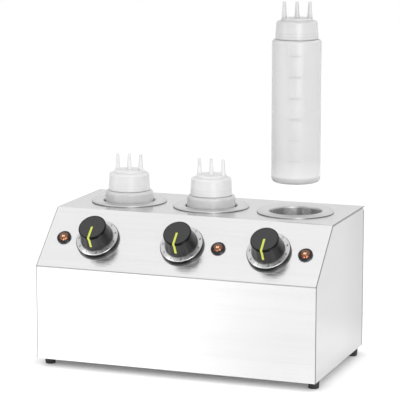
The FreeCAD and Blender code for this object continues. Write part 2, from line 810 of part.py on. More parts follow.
def build_thermostat(column):
    """A capillary thermostat behind the panel, its bush through the panel's hole."""
    part = new_panel_body(f"thermostat_{column}", column_x(column))
    case = new_sketch(part, "XY_Plane", lift="-sheet_wall - thermostat_depth")
    draw_path(case, [
        (f"{x} * thermostat_width / 2", f"{y} * thermostat_length / 2",
         "thermostat_edge_radius")
        for x, y in ((-1, -1), (1, -1), (1, 1), (-1, 1))])
    pad(part, case, "thermostat_depth")
    raise_circles(part, [("0", "0")], "bush_radius", "-sheet_wall",
                  "bush_height + sheet_wall")
    blades = new_sketch(part, "XY_Plane", lift="-sheet_wall - thermostat_depth")
    for side in (-1, 1):
        draw_box(blades, f"{side} * thermostat_width / 4 - terminal_width / 2",
                 f"{side} * thermostat_width / 4 + terminal_width / 2",
                 "-thermostat_length / 4 - terminal_wall / 2",
                 "-thermostat_length / 4 + terminal_wall / 2")
    pad(part, blades, "terminal_length", backwards=True)
    sink_circles(part, [("0", "0")], "spindle_radius + spindle_fit", "bush_height",
                 "bush_height + sheet_wall + spindle_in_bush + seat_gap")
    screws = [("-thermostat_screw_offset", "0"), ("thermostat_screw_offset", "0")]
    sink_circles(part, screws, "screw_radius", "-sheet_wall", "screw_reach")


def build_thermostat_screws():
    """The pairs of screws that hold the thermostats, hidden inside the gaskets."""
    part = new_panel_body("thermostat_screws", "0")
    raise_circles(part, thermostat_screw_places(), "screw_head_radius",
                  "0", "screw_head_height")
    raise_circles(part, thermostat_screw_places(), "screw_radius",
                  "-sheet_wall - screw_reach", "sheet_wall + screw_reach")


def build_dial_gasket(column):
    """The thin black disc between the panel and the dial, open in the middle."""
    part = new_panel_body(f"dial_gasket_{column}", column_x(column))
    turn_profile(part, [
        ("gasket_opening", "0"),
        ("gasket_radius", "0"),
        ("gasket_radius", "gasket_height", "gasket_edge_radius"),
        ("gasket_opening", "gasket_height"),
    ])


def build_dial_ring(column):
    """The flat silver dial, with a small chamfer round its outer edge."""
    part = new_panel_body(f"dial_ring_{column}", column_x(column), "gasket_height")
    turn_profile(part, [
        ("dial_opening", "0"),
        ("dial_radius", "0"),
        ("dial_radius", "dial_wall - dial_chamfer"),
        ("dial_radius - dial_chamfer", "dial_wall"),
        ("dial_opening", "dial_wall"),
    ])


def build_spindle(column):
    """The thermostat's spindle, with a flat where the knob pushes on."""
    part = new_panel_body(f"knob_shaft_{column}", column_x(column))
    raise_circles(part, [("0", "0")], "spindle_radius", "spindle_bottom",
                  "spindle_top - spindle_bottom")
    flat = new_sketch(part, "XY_Plane", lift="spindle_top + overrun")
    draw_box(flat, "-spindle_radius - overrun", "spindle_radius + overrun",
             "spindle_radius - spindle_flat_depth", "spindle_radius + overrun")
    pocket(part, flat, "spindle_top - knob_z + overrun")


def build_knob(column):
    """A hollow knob: a flat top over a fine groove, a flared foot, a boss and a slot."""
    part = new_panel_body(f"knob_{column}", column_x(column), "knob_z")
    turn_profile(part, [
        ("spindle_radius + spindle_fit", "0"),
        ("knob_boss_radius", "0"),
        ("knob_boss_radius", "knob_height - knob_wall"),
        ("knob_top_radius - knob_wall", "knob_height - knob_wall"),
        ("knob_top_radius - knob_wall", "knob_neck_height"),
        ("knob_base_radius - knob_wall", "0"),
        ("knob_base_radius", "0"),
        ("knob_base_radius", "knob_rim_height"),
        ("knob_neck_radius", "knob_neck_height"),
        ("knob_top_radius", "knob_top_low"),
        ("knob_top_radius", "knob_height", "knob_edge_radius"),
        ("0", "knob_height"),
        ("0", "knob_bore_depth"),
        ("spindle_radius + spindle_fit", "knob_bore_depth"),
    ])
    flat = new_sketch(part, "XY_Plane")
    draw_box(flat, "-spindle_radius", "spindle_radius",
             "spindle_radius - spindle_flat_depth + spindle_fit",
             "spindle_radius + spindle_fit + overrun")
    pad(part, flat, "knob_bore_depth")
    groove = new_sketch(part, "YZ_Plane")
    draw_path(groove, pointer_outline("pointer_depth", "pointer_proud + overrun"))
    pocket(part, groove, "pointer_width + 2 * spindle_fit", both_ways=True)


def pointer_outline(depth, proud):
    """Outline an elbow strip that lies in the knob's face and runs down its side.

    It goes from the middle of the face to the edge nearest the operator, so all
    its distances across are negative.
    """
    return [
        ("0", f"knob_height - ({depth})"),
        ("0", f"knob_height + ({proud})"),
        (f"-knob_top_radius - ({proud})", f"knob_height + ({proud})",
         "pointer_corner_radius"),
        (f"-knob_top_radius - ({proud})", "knob_top_low"),
        (f"-knob_neck_radius - ({proud})", "knob_neck_height"),
        (f"-pointer_end_radius - ({proud})", "pointer_end"),
        (f"-pointer_end_radius + ({depth})", "pointer_end"),
        (f"-knob_neck_radius + ({depth})", "knob_neck_height"),
        (f"-knob_top_radius + ({depth})", "knob_top_low"),
        (f"-knob_top_radius + ({depth})", f"knob_height - ({depth})"),
    ]


def build_pointer(column):
    """The bright strip let into the knob."""
    part = new_panel_body(f"pointer_{column}", column_x(column), "knob_z")
    sketch = new_sketch(part, "YZ_Plane")
    draw_path(sketch, pointer_outline("pointer_depth", "pointer_proud"))
    pad(part, sketch, "pointer_width", both_ways=True)


def build_lamp_bezel(column):
    """A pilot lamp's bezel and the tube behind it, with two terminal blades."""
    part = new_panel_body(f"lamp_bezel_{column}", lamp_x(column))
    turn_profile(part, [
        ("0", "-bezel_tube_length"),
        ("bezel_tube_radius", "-bezel_tube_length"),
        ("bezel_tube_radius", "0"),
        ("bezel_radius", "0"),
        ("bezel_radius", "bezel_height", "bezel_edge_radius"),
        ("lens_radius + spindle_fit", "bezel_height"),
        ("lens_radius + spindle_fit", "bezel_height - lens_seat"),
        ("bezel_bore_radius", "bezel_height - lens_seat"),
        ("bezel_bore_radius", "bezel_tube_wall - bezel_tube_length"),
        ("0", "bezel_tube_wall - bezel_tube_length"),
    ])
    blades = new_sketch(part, "XY_Plane", lift="-bezel_tube_length")
    for side in (-1, 1):
        draw_box(blades, f"{side} * bezel_tube_radius / 2 - terminal_wall / 2",
                 f"{side} * bezel_tube_radius / 2 + terminal_wall / 2",
                 "-terminal_width / 4", "terminal_width / 4")
    pad(part, blades, "terminal_length", backwards=True)


def build_lamp_lens(column):
    """The domed amber lens, seated in its bezel."""
    part = new_panel_body(f"lamp_lens_{column}", lamp_x(column), "bezel_height - lens_seat")
    turn_profile(part, [
        ("0", "0"),
        ("lens_radius", "0"),
        ("lens_radius", "lens_height", "lens_edge_radius"),
        ("0", "lens_height"),
    ])


def build_lamp_nuts():
    """The nuts that hold the lamps from behind the panel."""
    part = new_panel_body("lamp_nuts", "0", "-sheet_wall - lamp_nut_height")
    sketch = new_sketch(part, "XY_Plane")
    for column in COLUMNS:
        draw_hexagon(sketch, "lamp_nut_across", lamp_x(column))
    draw_circles(sketch, [(lamp_x(column), "0") for column in COLUMNS],
                 "bezel_tube_radius")
    pad(part, sketch, "lamp_nut_height")


# Bottles and caps


def build_bottle(column):
    """A blown bottle of even wall, with a pushed-up base and a wide neck."""
    part = new_body(f"bottle_{column}", x=column_x(column), y="well_y",
                    z=f"bottle_z + {BOTTLE_LIFTS[column]}")
    turn_profile(part, [
        ("0", "bottle_push_up"),
        ("bottle_push_up_radius", "bottle_push_up"),
        ("bottle_stand_radius", "0"),
        ("bottle_radius", "0", "bottle_base_radius"),
        ("bottle_radius", "bottle_shoulder", "bottle_shoulder_radius"),
        ("neck_radius", "bottle_shoulder"),
        ("neck_radius", "bottle_shoulder + neck_height"),
        ("neck_radius - bottle_wall", "bottle_shoulder + neck_height"),
        ("neck_radius - bottle_wall", "bottle_shoulder - bottle_wall"),
        ("bottle_radius - bottle_wall", "bottle_shoulder - bottle_wall",
         "bottle_shoulder_radius - bottle_wall"),
        ("bottle_radius - bottle_wall", "bottle_wall",
         "bottle_base_radius - bottle_wall"),
        ("bottle_stand_radius", "bottle_wall"),
        ("bottle_push_up_radius", "bottle_push_up + bottle_wall"),
        ("0", "bottle_push_up + bottle_wall"),
    ])


def build_cap(column):
    """A cap with a tapered skirt, a raised platform and three hollow nozzles."""
    part = new_body(f"cap_{column}", x=column_x(column), y="well_y",
                    z=f"cap_z + {BOTTLE_LIFTS[column]}", turn=CAP_TURNS[column])
    turn_profile(part, [
        ("neck_radius + seat_gap", "0"),
        ("cap_skirt_radius", "0"),
        ("cap_top_radius", "cap_height", "cap_edge_radius"),
        ("platform_radius", "cap_height", "platform_foot_radius"),
        ("platform_radius", "cap_height + platform_height"),
        ("0", "cap_height + platform_height"),
        ("0", "cap_height + platform_height - cap_wall"),
        ("platform_radius - cap_wall", "cap_height + platform_height - cap_wall"),
        ("platform_radius - cap_wall", "cap_height - cap_wall"),
        ("neck_radius + seat_gap", "cap_height - cap_wall"),
    ])
    deck = "(cap_height + platform_height)"
    for step in (-1, 0, 1):
        sketch = new_sketch(part, "XZ_Plane")
        middle = f"{step} * nozzle_spacing"
        draw_path(sketch, [
            (middle, f"{deck} - cap_wall"),
            (f"{middle} + nozzle_base_radius", f"{deck} - cap_wall"),
            (f"{middle} + nozzle_base_radius", deck),
            (f"{middle} + nozzle_tip_radius", f"{deck} + nozzle_height"),
            (middle, f"{deck} + nozzle_height"),
        ])
        spout = part.newObject("PartDesign::Revolution", f"nozzle_{column}")
        spout.Profile = sketch
        spout.ReferenceAxis = (sketch, ["Edge5"])
        spout.Angle = 360
    bores = [(f"{step} * nozzle_spacing", "0") for step in (-1, 0, 1)]
    sink_circles(part, bores, "nozzle_bore_radius", f"{deck} + nozzle_height + overrun",
                 "nozzle_height + cap_wall + 2 * overrun")


# Mains parts


def build_gland():
    """The cable gland low on the back panel: flange, dome and thread."""
    part = new_body("cable_gland", x="gland_x", y="back_y", z="gland_z",
                    tilt=-QUARTER_TURN)
    turn_profile(part, [
        ("gland_bore_radius", "-gland_thread_length"),
        ("gland_thread_radius", "-gland_thread_length"),
        ("gland_thread_radius", "0"),
        ("gland_cap_radius", "0"),
        ("gland_cap_radius", "gland_reach", "gland_cap_curve"),
        ("gland_bore_radius", "gland_reach"),
    ])
    flange = new_sketch(part, "XY_Plane")
    draw_hexagon(flange, "gland_across")
    draw_circles(flange, [("0", "0")], "gland_bore_radius")
    pad(part, flange, "gland_flange_height")
    nut = new_body("gland_nut", x="gland_x", y="back_y - sheet_wall - gland_nut_height",
                   z="gland_z", tilt=-QUARTER_TURN)
    ring = new_sketch(nut, "XY_Plane")
    draw_hexagon(ring, "gland_across")
    draw_circles(ring, [("0", "0")], "gland_thread_radius")
    pad(nut, ring, "gland_nut_height")


def build_terminal_block():
    """The mains terminal block on the pan, with three wells for its screws."""
    part = new_body("terminal_block", x="gland_x", y="back_y - block_from_back",
                    z="foot_height + sheet_wall")
    sketch = new_sketch(part, "XY_Plane")
    draw_box(sketch, "-block_length / 2", "block_length / 2",
             "-block_width / 2", "block_width / 2")
    pad(part, sketch, "block_height")
    centres = [(f"{step} * block_spacing", f"{side} * block_width / 4")
               for step in (-1, 0, 1) for side in (-1, 1)]
    sink_circles(part, centres, "block_well_radius", "block_height", "block_well_depth")
    raise_circles(part, centres, "screw_radius", "block_height - block_well_depth",
                  "screw_head_height")


def build_earth_stud():
    """The earth stud through the pan, with its nut."""
    part = new_body("earth_stud", x="stud_x", y="back_y - stud_from_back",
                    z="foot_height + sheet_wall")
    raise_circles(part, [("0", "0")], "stud_radius", "-sheet_wall", "stud_length")
    sketch = new_sketch(part, "XY_Plane")
    draw_hexagon(sketch, "nut_across")
    pad(part, sketch, "nut_height")


def build_all():
    """Build every sub-part, column by column where they repeat."""
    build_wrap()
    build_side("left_side_panel", -1)
    build_side("right_side_panel", 1)
    build_back()
    build_base()
    for name, x, y in foot_places():
        build_foot(name, x, y)
    build_foot_fasteners()
    build_back_screws()
    for column in COLUMNS:
        build_well(column)
        build_heater_band(column)
        build_sensing_bulb(column)
        build_thermostat(column)
        build_dial_gasket(column)
        build_dial_ring(column)
        build_spindle(column)
        build_knob(column)
        build_pointer(column)
        build_lamp_bezel(column)
        build_lamp_lens(column)
        build_bottle(column)
        build_cap(column)
    build_band_screws()
    build_bulb_pockets()
    build_thermostat_screws()
    build_lamp_nuts()
    build_gland()
    build_terminal_block()
    build_earth_stud()


def check_and_write():
    """Stop if any object failed, then write each sub-part to its own file."""
    doc.recompute()
    for item in doc.Objects:
        if "Invalid" in item.State or "Error" in item.State:
            raise RuntimeError(f"{item.Label} failed: {item.State}")
    for part in pieces:
        if part.Shape.isNull() or not part.Shape.isValid():
            raise RuntimeError(f"{part.Label} has no valid shape")
    os.makedirs("parts", exist_ok=True)
    for part in pieces:
        part.Shape.exportStep(f"parts/{part.Label}.step")
    print(f"{len(pieces)} sub-parts written")


build_all()
check_and_write()
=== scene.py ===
# %% [markdown]
# # A countertop warmer for squeeze bottles
#
# The real thing is a folded stainless housing with three drawn wells, three thermostat
# knobs and three pilot lamps. Three soft plastic bottles belong to it: two stand in
# their wells and the third is lifted out. The rigid frame comes ready made, at its real
# size. This lesson gives each surface its finish, and adds the small pieces that are too
# fine for the frame: the numbers on the dials, the marks on the bottles and the
# electrodes inside the lamps.

# %% Load the frame
import json
import math

import bpy
from mathutils import Matrix, Vector


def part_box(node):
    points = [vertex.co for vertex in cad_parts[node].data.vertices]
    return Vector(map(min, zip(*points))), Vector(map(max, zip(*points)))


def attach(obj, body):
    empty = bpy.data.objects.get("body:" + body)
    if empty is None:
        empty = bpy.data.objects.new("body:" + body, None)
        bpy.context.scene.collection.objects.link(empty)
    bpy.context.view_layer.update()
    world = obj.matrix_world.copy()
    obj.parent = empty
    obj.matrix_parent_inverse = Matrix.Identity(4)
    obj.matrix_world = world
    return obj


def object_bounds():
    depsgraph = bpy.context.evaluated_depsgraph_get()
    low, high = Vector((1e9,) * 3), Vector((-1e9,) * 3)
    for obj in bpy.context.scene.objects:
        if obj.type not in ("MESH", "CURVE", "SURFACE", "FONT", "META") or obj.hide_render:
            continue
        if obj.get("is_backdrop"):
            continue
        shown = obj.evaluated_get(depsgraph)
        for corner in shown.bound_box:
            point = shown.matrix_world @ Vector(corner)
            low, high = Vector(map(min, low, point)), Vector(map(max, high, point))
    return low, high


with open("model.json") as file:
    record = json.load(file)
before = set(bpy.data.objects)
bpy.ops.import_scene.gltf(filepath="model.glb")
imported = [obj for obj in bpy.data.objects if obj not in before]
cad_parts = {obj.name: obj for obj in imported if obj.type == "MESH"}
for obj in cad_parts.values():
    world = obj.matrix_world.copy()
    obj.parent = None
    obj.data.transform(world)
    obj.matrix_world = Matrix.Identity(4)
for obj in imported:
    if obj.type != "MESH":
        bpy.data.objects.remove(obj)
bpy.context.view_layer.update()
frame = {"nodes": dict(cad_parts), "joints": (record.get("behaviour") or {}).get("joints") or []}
nodes = frame["nodes"]
COLUMNS = (1, 2, 3)

# %% [markdown]
# ## Places
#
# Everything new has to sit where the frame says, so the few places that the rest of the
# lesson needs are read from it. The knobs turn about the normal of the sloped panel, so
# a knob's joint gives that normal. Points turned to the panel's own axes then tell how
# high a piece stands on the panel, and how far it reaches from the axis of a knob.

# %% Places read from the frame
joints = {joint["name"]: joint for joint in frame["joints"]}
panel_normal = -Vector(joints["knob_turn_1"]["axis"]).normalized()
panel_tilt = math.atan2(-panel_normal.y, panel_normal.z)
panel_turn = Matrix.Rotation(panel_tilt, 3, "X")
housing_low, housing_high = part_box("housing_wrap")


def middle(node):
    """Return the middle of a node's box."""
    low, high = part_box(node)
    return (low + high) / 2


def panel_spots(node, origin=Vector((0, 0, 0))):
    """Return a node's points along the sloped panel's own axes, from an origin."""
    to_panel = panel_turn.transposed()
    return [to_panel @ (vertex.co - origin) for vertex in nodes[node].data.vertices]


def panel_box(node):
    """Return a node's lowest and highest corners along the sloped panel's own axes."""
    spots = panel_spots(node)
    return (Vector(min(spot[axis] for spot in spots) for axis in range(3)),
            Vector(max(spot[axis] for spot in spots) for axis in range(3)))


def reach_above(node, seat, height):
    """Return how far a node reaches from the axis through a seat, above a height."""
    return max(math.hypot(spot.x, spot.y)
               for spot in panel_spots(node, seat) if spot.z > height)


slope_face = panel_box("housing_wrap")[1].z
wells = {column: middle(f"well_pot_{column}") for column in COLUMNS}
knob_seats = {column: Vector(joints[f"knob_turn_{column}"]["pos_m"]) for column in COLUMNS}
print("panel tilt:", round(math.degrees(panel_tilt), 2), "degrees")

# %% [markdown]
# ## Camera
#
# The picture was taken with a long lens from the right of the warmer and a little above
# it. A long lens keeps the sides of the housing nearly parallel. The place of the camera
# was worked out from the corners of the housing, so it is given from the foot of the
# housing's front, and the lens from the width that it covers.

# %% Camera
CAMERA_YAW = 0.3526
CAMERA_PITCH = 0.178
CAMERA_FROM_FRONT = Vector((0.9929, -2.5895, 0.7411))
SENSOR_WIDTH = 36
LENS = 184.4

camera_data = bpy.data.cameras.new("camera")
camera_data.sensor_width = SENSOR_WIDTH
camera_data.lens = LENS
camera = bpy.data.objects.new("camera", camera_data)
bpy.context.collection.objects.link(camera)
camera.location = Vector((0, housing_low.y, housing_low.z)) + CAMERA_FROM_FRONT
camera.rotation_euler = (math.pi / 2 - CAMERA_PITCH, 0, CAMERA_YAW)
bpy.context.scene.camera = camera
print("camera at", tuple(round(c, 3) for c in camera.location))

# %% [markdown]
# ## Shader arithmetic
#
# A finish is a small sum: streaks times a contrast, plus a level. Writing it as a Python
# expression is easier to read than a list of linked nodes, so one class stands for a
# number that varies over a surface, and its operators add the Math nodes.

# %% A number that varies over a surface


class Varying:
    """A number that varies over a surface, with arithmetic that adds Math nodes."""

    def __init__(self, finish, socket):
        self.finish = finish
        self.socket = socket

    def math(self, operation, *others):
        """Add one Math node that takes this number first."""
        made = self.finish.node("ShaderNodeMath", {"operation": operation},
                                {index: value for index, value in enumerate((self, *others))})
        return Varying(self.finish, made.outputs[0])

    def __add__(self, other):
        return self.math("ADD", other)

    def __sub__(self, other):
        return self.math("SUBTRACT", other)

    def __mul__(self, other):
        return self.math("MULTIPLY", other)

    def __truediv__(self, other):
        return self.math("DIVIDE", other)

    def __rsub__(self, other):
        return (self * -1) + other

    __radd__ = __add__
    __rmul__ = __mul__

    def band(self, low, high):
        """Return 0 below low, 1 above high and a smooth rise between them."""
        made = self.finish.node("ShaderNodeMapRange", {"interpolation_type": "SMOOTHSTEP"},
                                {"Value": self, "From Min": low, "From Max": high})
        return Varying(self.finish, made.outputs["Result"])


# %% [markdown]
# ## A finish
#
# A material in Blender is a tree of nodes that feeds one shader. This class keeps the
# tree and the shader together, and each of its methods adds one thing that the lesson
# needs often: coordinates, a noise, a blend of two colours or a bump. The coordinates
# are those of the object, in metres, so a finish can be placed as exactly as a shape.

# %% A finish and its nodes


class Finish:
    """A surface finish: a node tree, the ways to add nodes to it, and its shader."""

    def __init__(self, name, tree=None):
        self.material = None
        if tree is None:
            self.material = bpy.data.materials.new(name)
            self.material.use_nodes = True
            tree = self.material.node_tree
        self.tree = tree
        self.shader = tree.nodes.get("Principled BSDF")

    def node(self, kind, settings=None, inputs=None):
        """Add a node: its settings first, then the value or link of each socket."""
        made = self.tree.nodes.new(kind)
        for key, setting in (settings or {}).items():
            setattr(made, key, setting)
        for key, content in (inputs or {}).items():
            self.feed(made.inputs[key], content)
        return made

    def feed(self, socket, content):
        """Link a socket to what feeds it, or set its value."""
        if isinstance(content, Varying):
            self.tree.links.new(content.socket, socket)
        elif isinstance(content, bpy.types.NodeSocket):
            self.tree.links.new(content, socket)
        else:
            socket.default_value = content

    def set(self, **values):
        """Set or feed sockets of the shader, named with underscores for spaces."""
        for key, content in values.items():
            title = key.replace("_", " ").title().replace("Ior", "IOR")
            self.feed(self.shader.inputs[title], content)
        return self

    def place(self, stretch=(1, 1, 1), centre=(0, 0, 0)):
        """Return object coordinates, moved to a centre and then stretched."""
        here = self.node("ShaderNodeTexCoord").outputs["Object"]
        moved = self.node("ShaderNodeVectorMath", {"operation": "SUBTRACT"},
                          {0: here, 1: tuple(centre)}).outputs[0]
        return self.node("ShaderNodeVectorMath", {"operation": "MULTIPLY"},
                         {0: moved, 1: tuple(stretch)}).outputs[0]

    def axes(self, vector=None):
        """Return the three parts of a vector, or else of the object coordinates."""
        split = self.node("ShaderNodeSeparateXYZ", None,
                          {0: self.place() if vector is None else vector})
        return [Varying(self, split.outputs[axis]) for axis in "XYZ"]

    def tilted(self, centre, tilt):
        """Return the three distances from a centre, along axes tilted about X."""
        turned = self.node("ShaderNodeVectorRotate", {"rotation_type": "X_AXIS"},
                           {"Vector": self.place(centre=centre), "Angle": -tilt})
        return self.axes(turned.outputs[0])

    def noise(self, where, scale, detail=2.0, roughness=0.5):
        """Return a soft noise from 0 to 1."""
        made = self.node("ShaderNodeTexNoise", None,
                         {"Vector": where, "Scale": scale, "Detail": detail,
                          "Roughness": roughness})
        return Varying(self, made.outputs["Fac"])

    def blend(self, factor, first, second):
        """Mix two colours, or sockets that give colours, by a factor."""
        ends = [(*colour, 1) if isinstance(colour, tuple) else colour
                for colour in (first, second)]
        made = self.node("ShaderNodeMix", {"data_type": "RGBA"},
                         {0: factor, 6: ends[0], 7: ends[1]})
        return made.outputs[2]

    def bump(self, height, distance, strength=1.0):
        """Feed a height, in metres when multiplied by the distance, to the normal."""
        made = self.node("ShaderNodeBump", None,
                         {"Height": height, "Distance": distance, "Strength": strength})
        return self.set(normal=made.outputs["Normal"])


def grey(level):
    """Return a colour of equal red, green and blue."""
    return (level, level, level)


def from_axis(spot):
    """Return how far a point is from an axis, given its place as tilted() returns it."""
    side, up = spot[:2]
    return (side * side + up * up).math("SQRT")


def towards(spot, way):
    """Return the cosine of the angle, seen along the axis, from a point to a way."""
    side, up = spot[:2]
    return (side * way[0] + up * way[1]) / from_axis(spot)


# %% [markdown]
# ## The room
#
# Brushed steel shows what is around it more than its own colour. The top of the real one
# is grey, because it mirrors the room behind, and the slope is bright, because it mirrors
# the ceiling. A model of the studio would do, but a soft gradient is simpler and has no
# edges to show in the steel: brightest overhead, greyer in front and on the right, and
# darkest on the left.

# %% The room around the warmer
ROOM_LEVEL = 0.86
ROOM_FRONT = 0.45
ROOM_LEFT = 0.32
ROOM_RIGHT = 0.50
ROOM_ABOVE = 1.17
FRONT_BAND = (0.2, 0.9)
LEFT_BAND = (0.42, 0.95)
RIGHT_BAND = (0.75, 0.98)
ABOVE_BAND = (0.3, 0.8)

world = bpy.data.worlds.new("studio")
world.use_nodes = True
bpy.context.scene.world = world
sky = Finish("studio", world.node_tree)
direction = sky.node("ShaderNodeTexCoord").outputs["Generated"]
across, along, upward = sky.axes(direction)
room = sky.blend((along * -1).band(*FRONT_BAND), grey(ROOM_LEVEL), grey(ROOM_FRONT))
room = sky.blend((across * -1).band(*LEFT_BAND), room, grey(ROOM_LEFT))
room = sky.blend(across.band(*RIGHT_BAND), room, grey(ROOM_RIGHT))
room = sky.blend(upward.band(*ABOVE_BAND), room, grey(ROOM_ABOVE))
sky.feed(world.node_tree.nodes["Background"].inputs["Color"], room)
print("room:", len(world.node_tree.nodes), "nodes")

# %% [markdown]
# ## The floor
#
# The front of the real one is almost white, because it mirrors a white floor. So the
# floor is a light table, white paper that is lit a little from below. It is lit more in
# front on the left, which makes the front panel fade from left to right, and more close
# around the warmer, which keeps the shadow soft. What the warmer covers is lit less.

# %% The floor
FLOOR_REACH = 60
PAPER_TONE = 0.93
PAPER_ROUGHNESS = 0.9
GLOW_ALL = 0.075
GLOW_LEFT = 0.50
GLOW_BESIDE = 0.16
COVERED_SHARE = 0.35
FRONT_RISE = (0.135, 0.165)
FRONT_FADE = (1.6, 3.0)
LEFT_FADE = (-0.11, 0.21)
LEFT_SLANT = 0.3
COVER_EDGE = (-0.012, 0.018)
BESIDE_RISE = (-0.006, 0.03)
BESIDE_FADE = (0.06, 0.22)

bpy.ops.mesh.primitive_plane_add(size=FLOOR_REACH, location=(0, 0, 0))
floor = bpy.context.object
floor.name = "floor"
floor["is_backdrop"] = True
paper = Finish("floor_paper")
floor_x, floor_y = paper.axes()[:2]
forward = floor_y * -1
in_front = forward.band(*FRONT_RISE) * (1 - forward.band(*FRONT_FADE))
on_left = 1 - (floor_x + forward * LEFT_SLANT).band(*LEFT_FADE)
beside = floor_x.math("ABSOLUTE") - housing_high.x
before = floor_y.math("ABSOLUTE") - housing_high.y
gap = beside.math("MAXIMUM", before)
uncovered = gap.band(*COVER_EDGE) * (1 - COVERED_SHARE) + COVERED_SHARE
close_by = gap.band(*BESIDE_RISE) * (1 - gap.band(*BESIDE_FADE))
glow = in_front * on_left * GLOW_LEFT + uncovered * GLOW_ALL + close_by * GLOW_BESIDE
paper.set(base_color=(*grey(PAPER_TONE), 1), roughness=PAPER_ROUGHNESS,
          emission_strength=1.0, emission_color=paper.blend(glow, grey(0), grey(1)))
floor.data.materials.append(paper.material)
print("floor:", FLOOR_REACH, "m wide")

# %% [markdown]
# ## The lights
#
# The room and the floor light everything evenly, so on their own they would leave round
# things flat. One large soft light beside the camera rounds the bottles and knobs, and a
# narrow one on the left answers it. Their size matters more than their power, because
# plastic and steel show the shape of a light as a highlight.

# %% The lights


def soft_light(name, width, height, power, place, aim):
    """Add a rectangular light of a size in metres, turned to a point."""
    data = bpy.data.lights.new(name, "AREA")
    data.shape = "RECTANGLE"
    data.size = width
    data.size_y = height
    data.energy = power
    light = bpy.data.objects.new(name, data)
    bpy.context.collection.objects.link(light)
    light.location = place
    light.rotation_euler = (Vector(aim) - Vector(place)).to_track_quat("-Z", "Y").to_euler()


soft_light("key", width=1.0, height=1.8, power=38, place=(1.62, -2.45, 1.0),
           aim=(0.1, 0, 0.25))
soft_light("left_strip", width=0.25, height=1.5, power=6, place=(-1.9, -1.6, 0.9),
           aim=(0, 0, 0.25))
bpy.context.scene.view_settings.view_transform = "Standard"
bpy.context.scene.view_settings.look = "None"

# %% [markdown]
# ## Brushed steel
#
# Stainless sheet is brushed in one direction. Each scratch is far thinner than a pixel,
# but together they smear every reflection across their own direction, which is why the
# knobs leave long grey shadows down the panel. A noise stretched along the brushing gives
# both the fine scratches, as bump, and the broad streaks, as roughness and tint. A thin
# dark line marks where two sheets meet. The side panels get painted shade: their steel is
# painted darker than the wrap's, and darker still towards the back.

# %% Brushed steel
STEEL_METALLIC = 0.88
SCRATCH_SCALES = (8.0, 1600.0)
STREAK_SCALES = (1.2, 70.0)
CLOUD_SCALE = 3.0
SCRATCH_SHARE = 0.35
STREAK_SHARE = 0.35
CLOUD_SHARE = 0.3
SHADE_BAND = (0.35, 0.65)
SCRATCH_DEPTH = 0.00009
REAR_FROM = -0.02
REAR_SHARE = 0.7
REAR_PAINTED_SHADE = 0.09
WRAP_LINE = 0.0008
SIDE_LINE = 0.0022
LINE_FADE = (0.8, 1.1)
LINE_TONE = 0.12


def to_edge(finish, side_panel):
    """Return the distance to the nearest edge where two sheets meet, in metres."""
    x, y, z = finish.axes()
    if not side_panel:
        return housing_high.x - x.math("ABSOLUTE")
    below_slope = slope_face - (y * panel_normal.y + z * panel_normal.z)
    return (y - housing_low.y).math("MINIMUM", housing_high.z - z).math("MINIMUM", below_slope)


def brushed_steel(name, along, light, dark, smooth, rough, side_panel=False):
    """Make sheet steel that is brushed along one axis, with dark lines where sheets meet."""
    finish = Finish(name)

    def brushing(scales, detail):
        """Return a noise with one scale along the brushing and another across it."""
        stretch = [scales[0] if axis == along else scales[1] for axis in range(3)]
        return finish.noise(finish.place(stretch), 1.0, detail=detail, roughness=0.6)

    scratches = brushing(SCRATCH_SCALES, detail=2.0)
    streaks = brushing(STREAK_SCALES, detail=4.0)
    clouds = finish.noise(finish.place(), CLOUD_SCALE, detail=2.0)
    shade = scratches * SCRATCH_SHARE + streaks * STREAK_SHARE + clouds * CLOUD_SHARE
    sheet = finish.blend(shade.band(*SHADE_BAND), grey(dark), grey(light))
    # Painted shade: a side panel is painted darker towards the back.
    if side_panel:
        rearward = finish.axes()[1].band(REAR_FROM, housing_high.y)
        sheet = finish.blend(rearward * REAR_SHARE, sheet, grey(dark - REAR_PAINTED_SHADE))
    width = SIDE_LINE if side_panel else WRAP_LINE
    fade = [width * share for share in LINE_FADE]
    line = 1 - to_edge(finish, side_panel).band(*fade)
    finish.set(base_color=finish.blend(line, sheet, grey(LINE_TONE)),
               metallic=STEEL_METALLIC, roughness=streaks * (rough - smooth) + smooth)
    finish.bump(scratches, SCRATCH_DEPTH)
    return finish.material


def dress(material, *names):
    """Give nodes of the frame a material in every slot that they have."""
    for name in names:
        slots = nodes[name].material_slots
        for slot in slots:
            slot.material = material
        if not slots:
            nodes[name].data.materials.append(material)


steel_along_x = brushed_steel("steel_brushed_across", 0, light=0.745, dark=0.69,
                              smooth=0.10, rough=0.18)
# The side panels are a darker copy of the same steel, as painted shade.
steel_along_y = brushed_steel("steel_brushed_deep", 1, light=0.645, dark=0.585,
                              smooth=0.14, rough=0.24, side_panel=True)
dress(steel_along_x, "housing_wrap", "back_panel", "base_plate")
dress(steel_along_y, "left_side_panel", "right_side_panel")
print("sheet steel dressed")
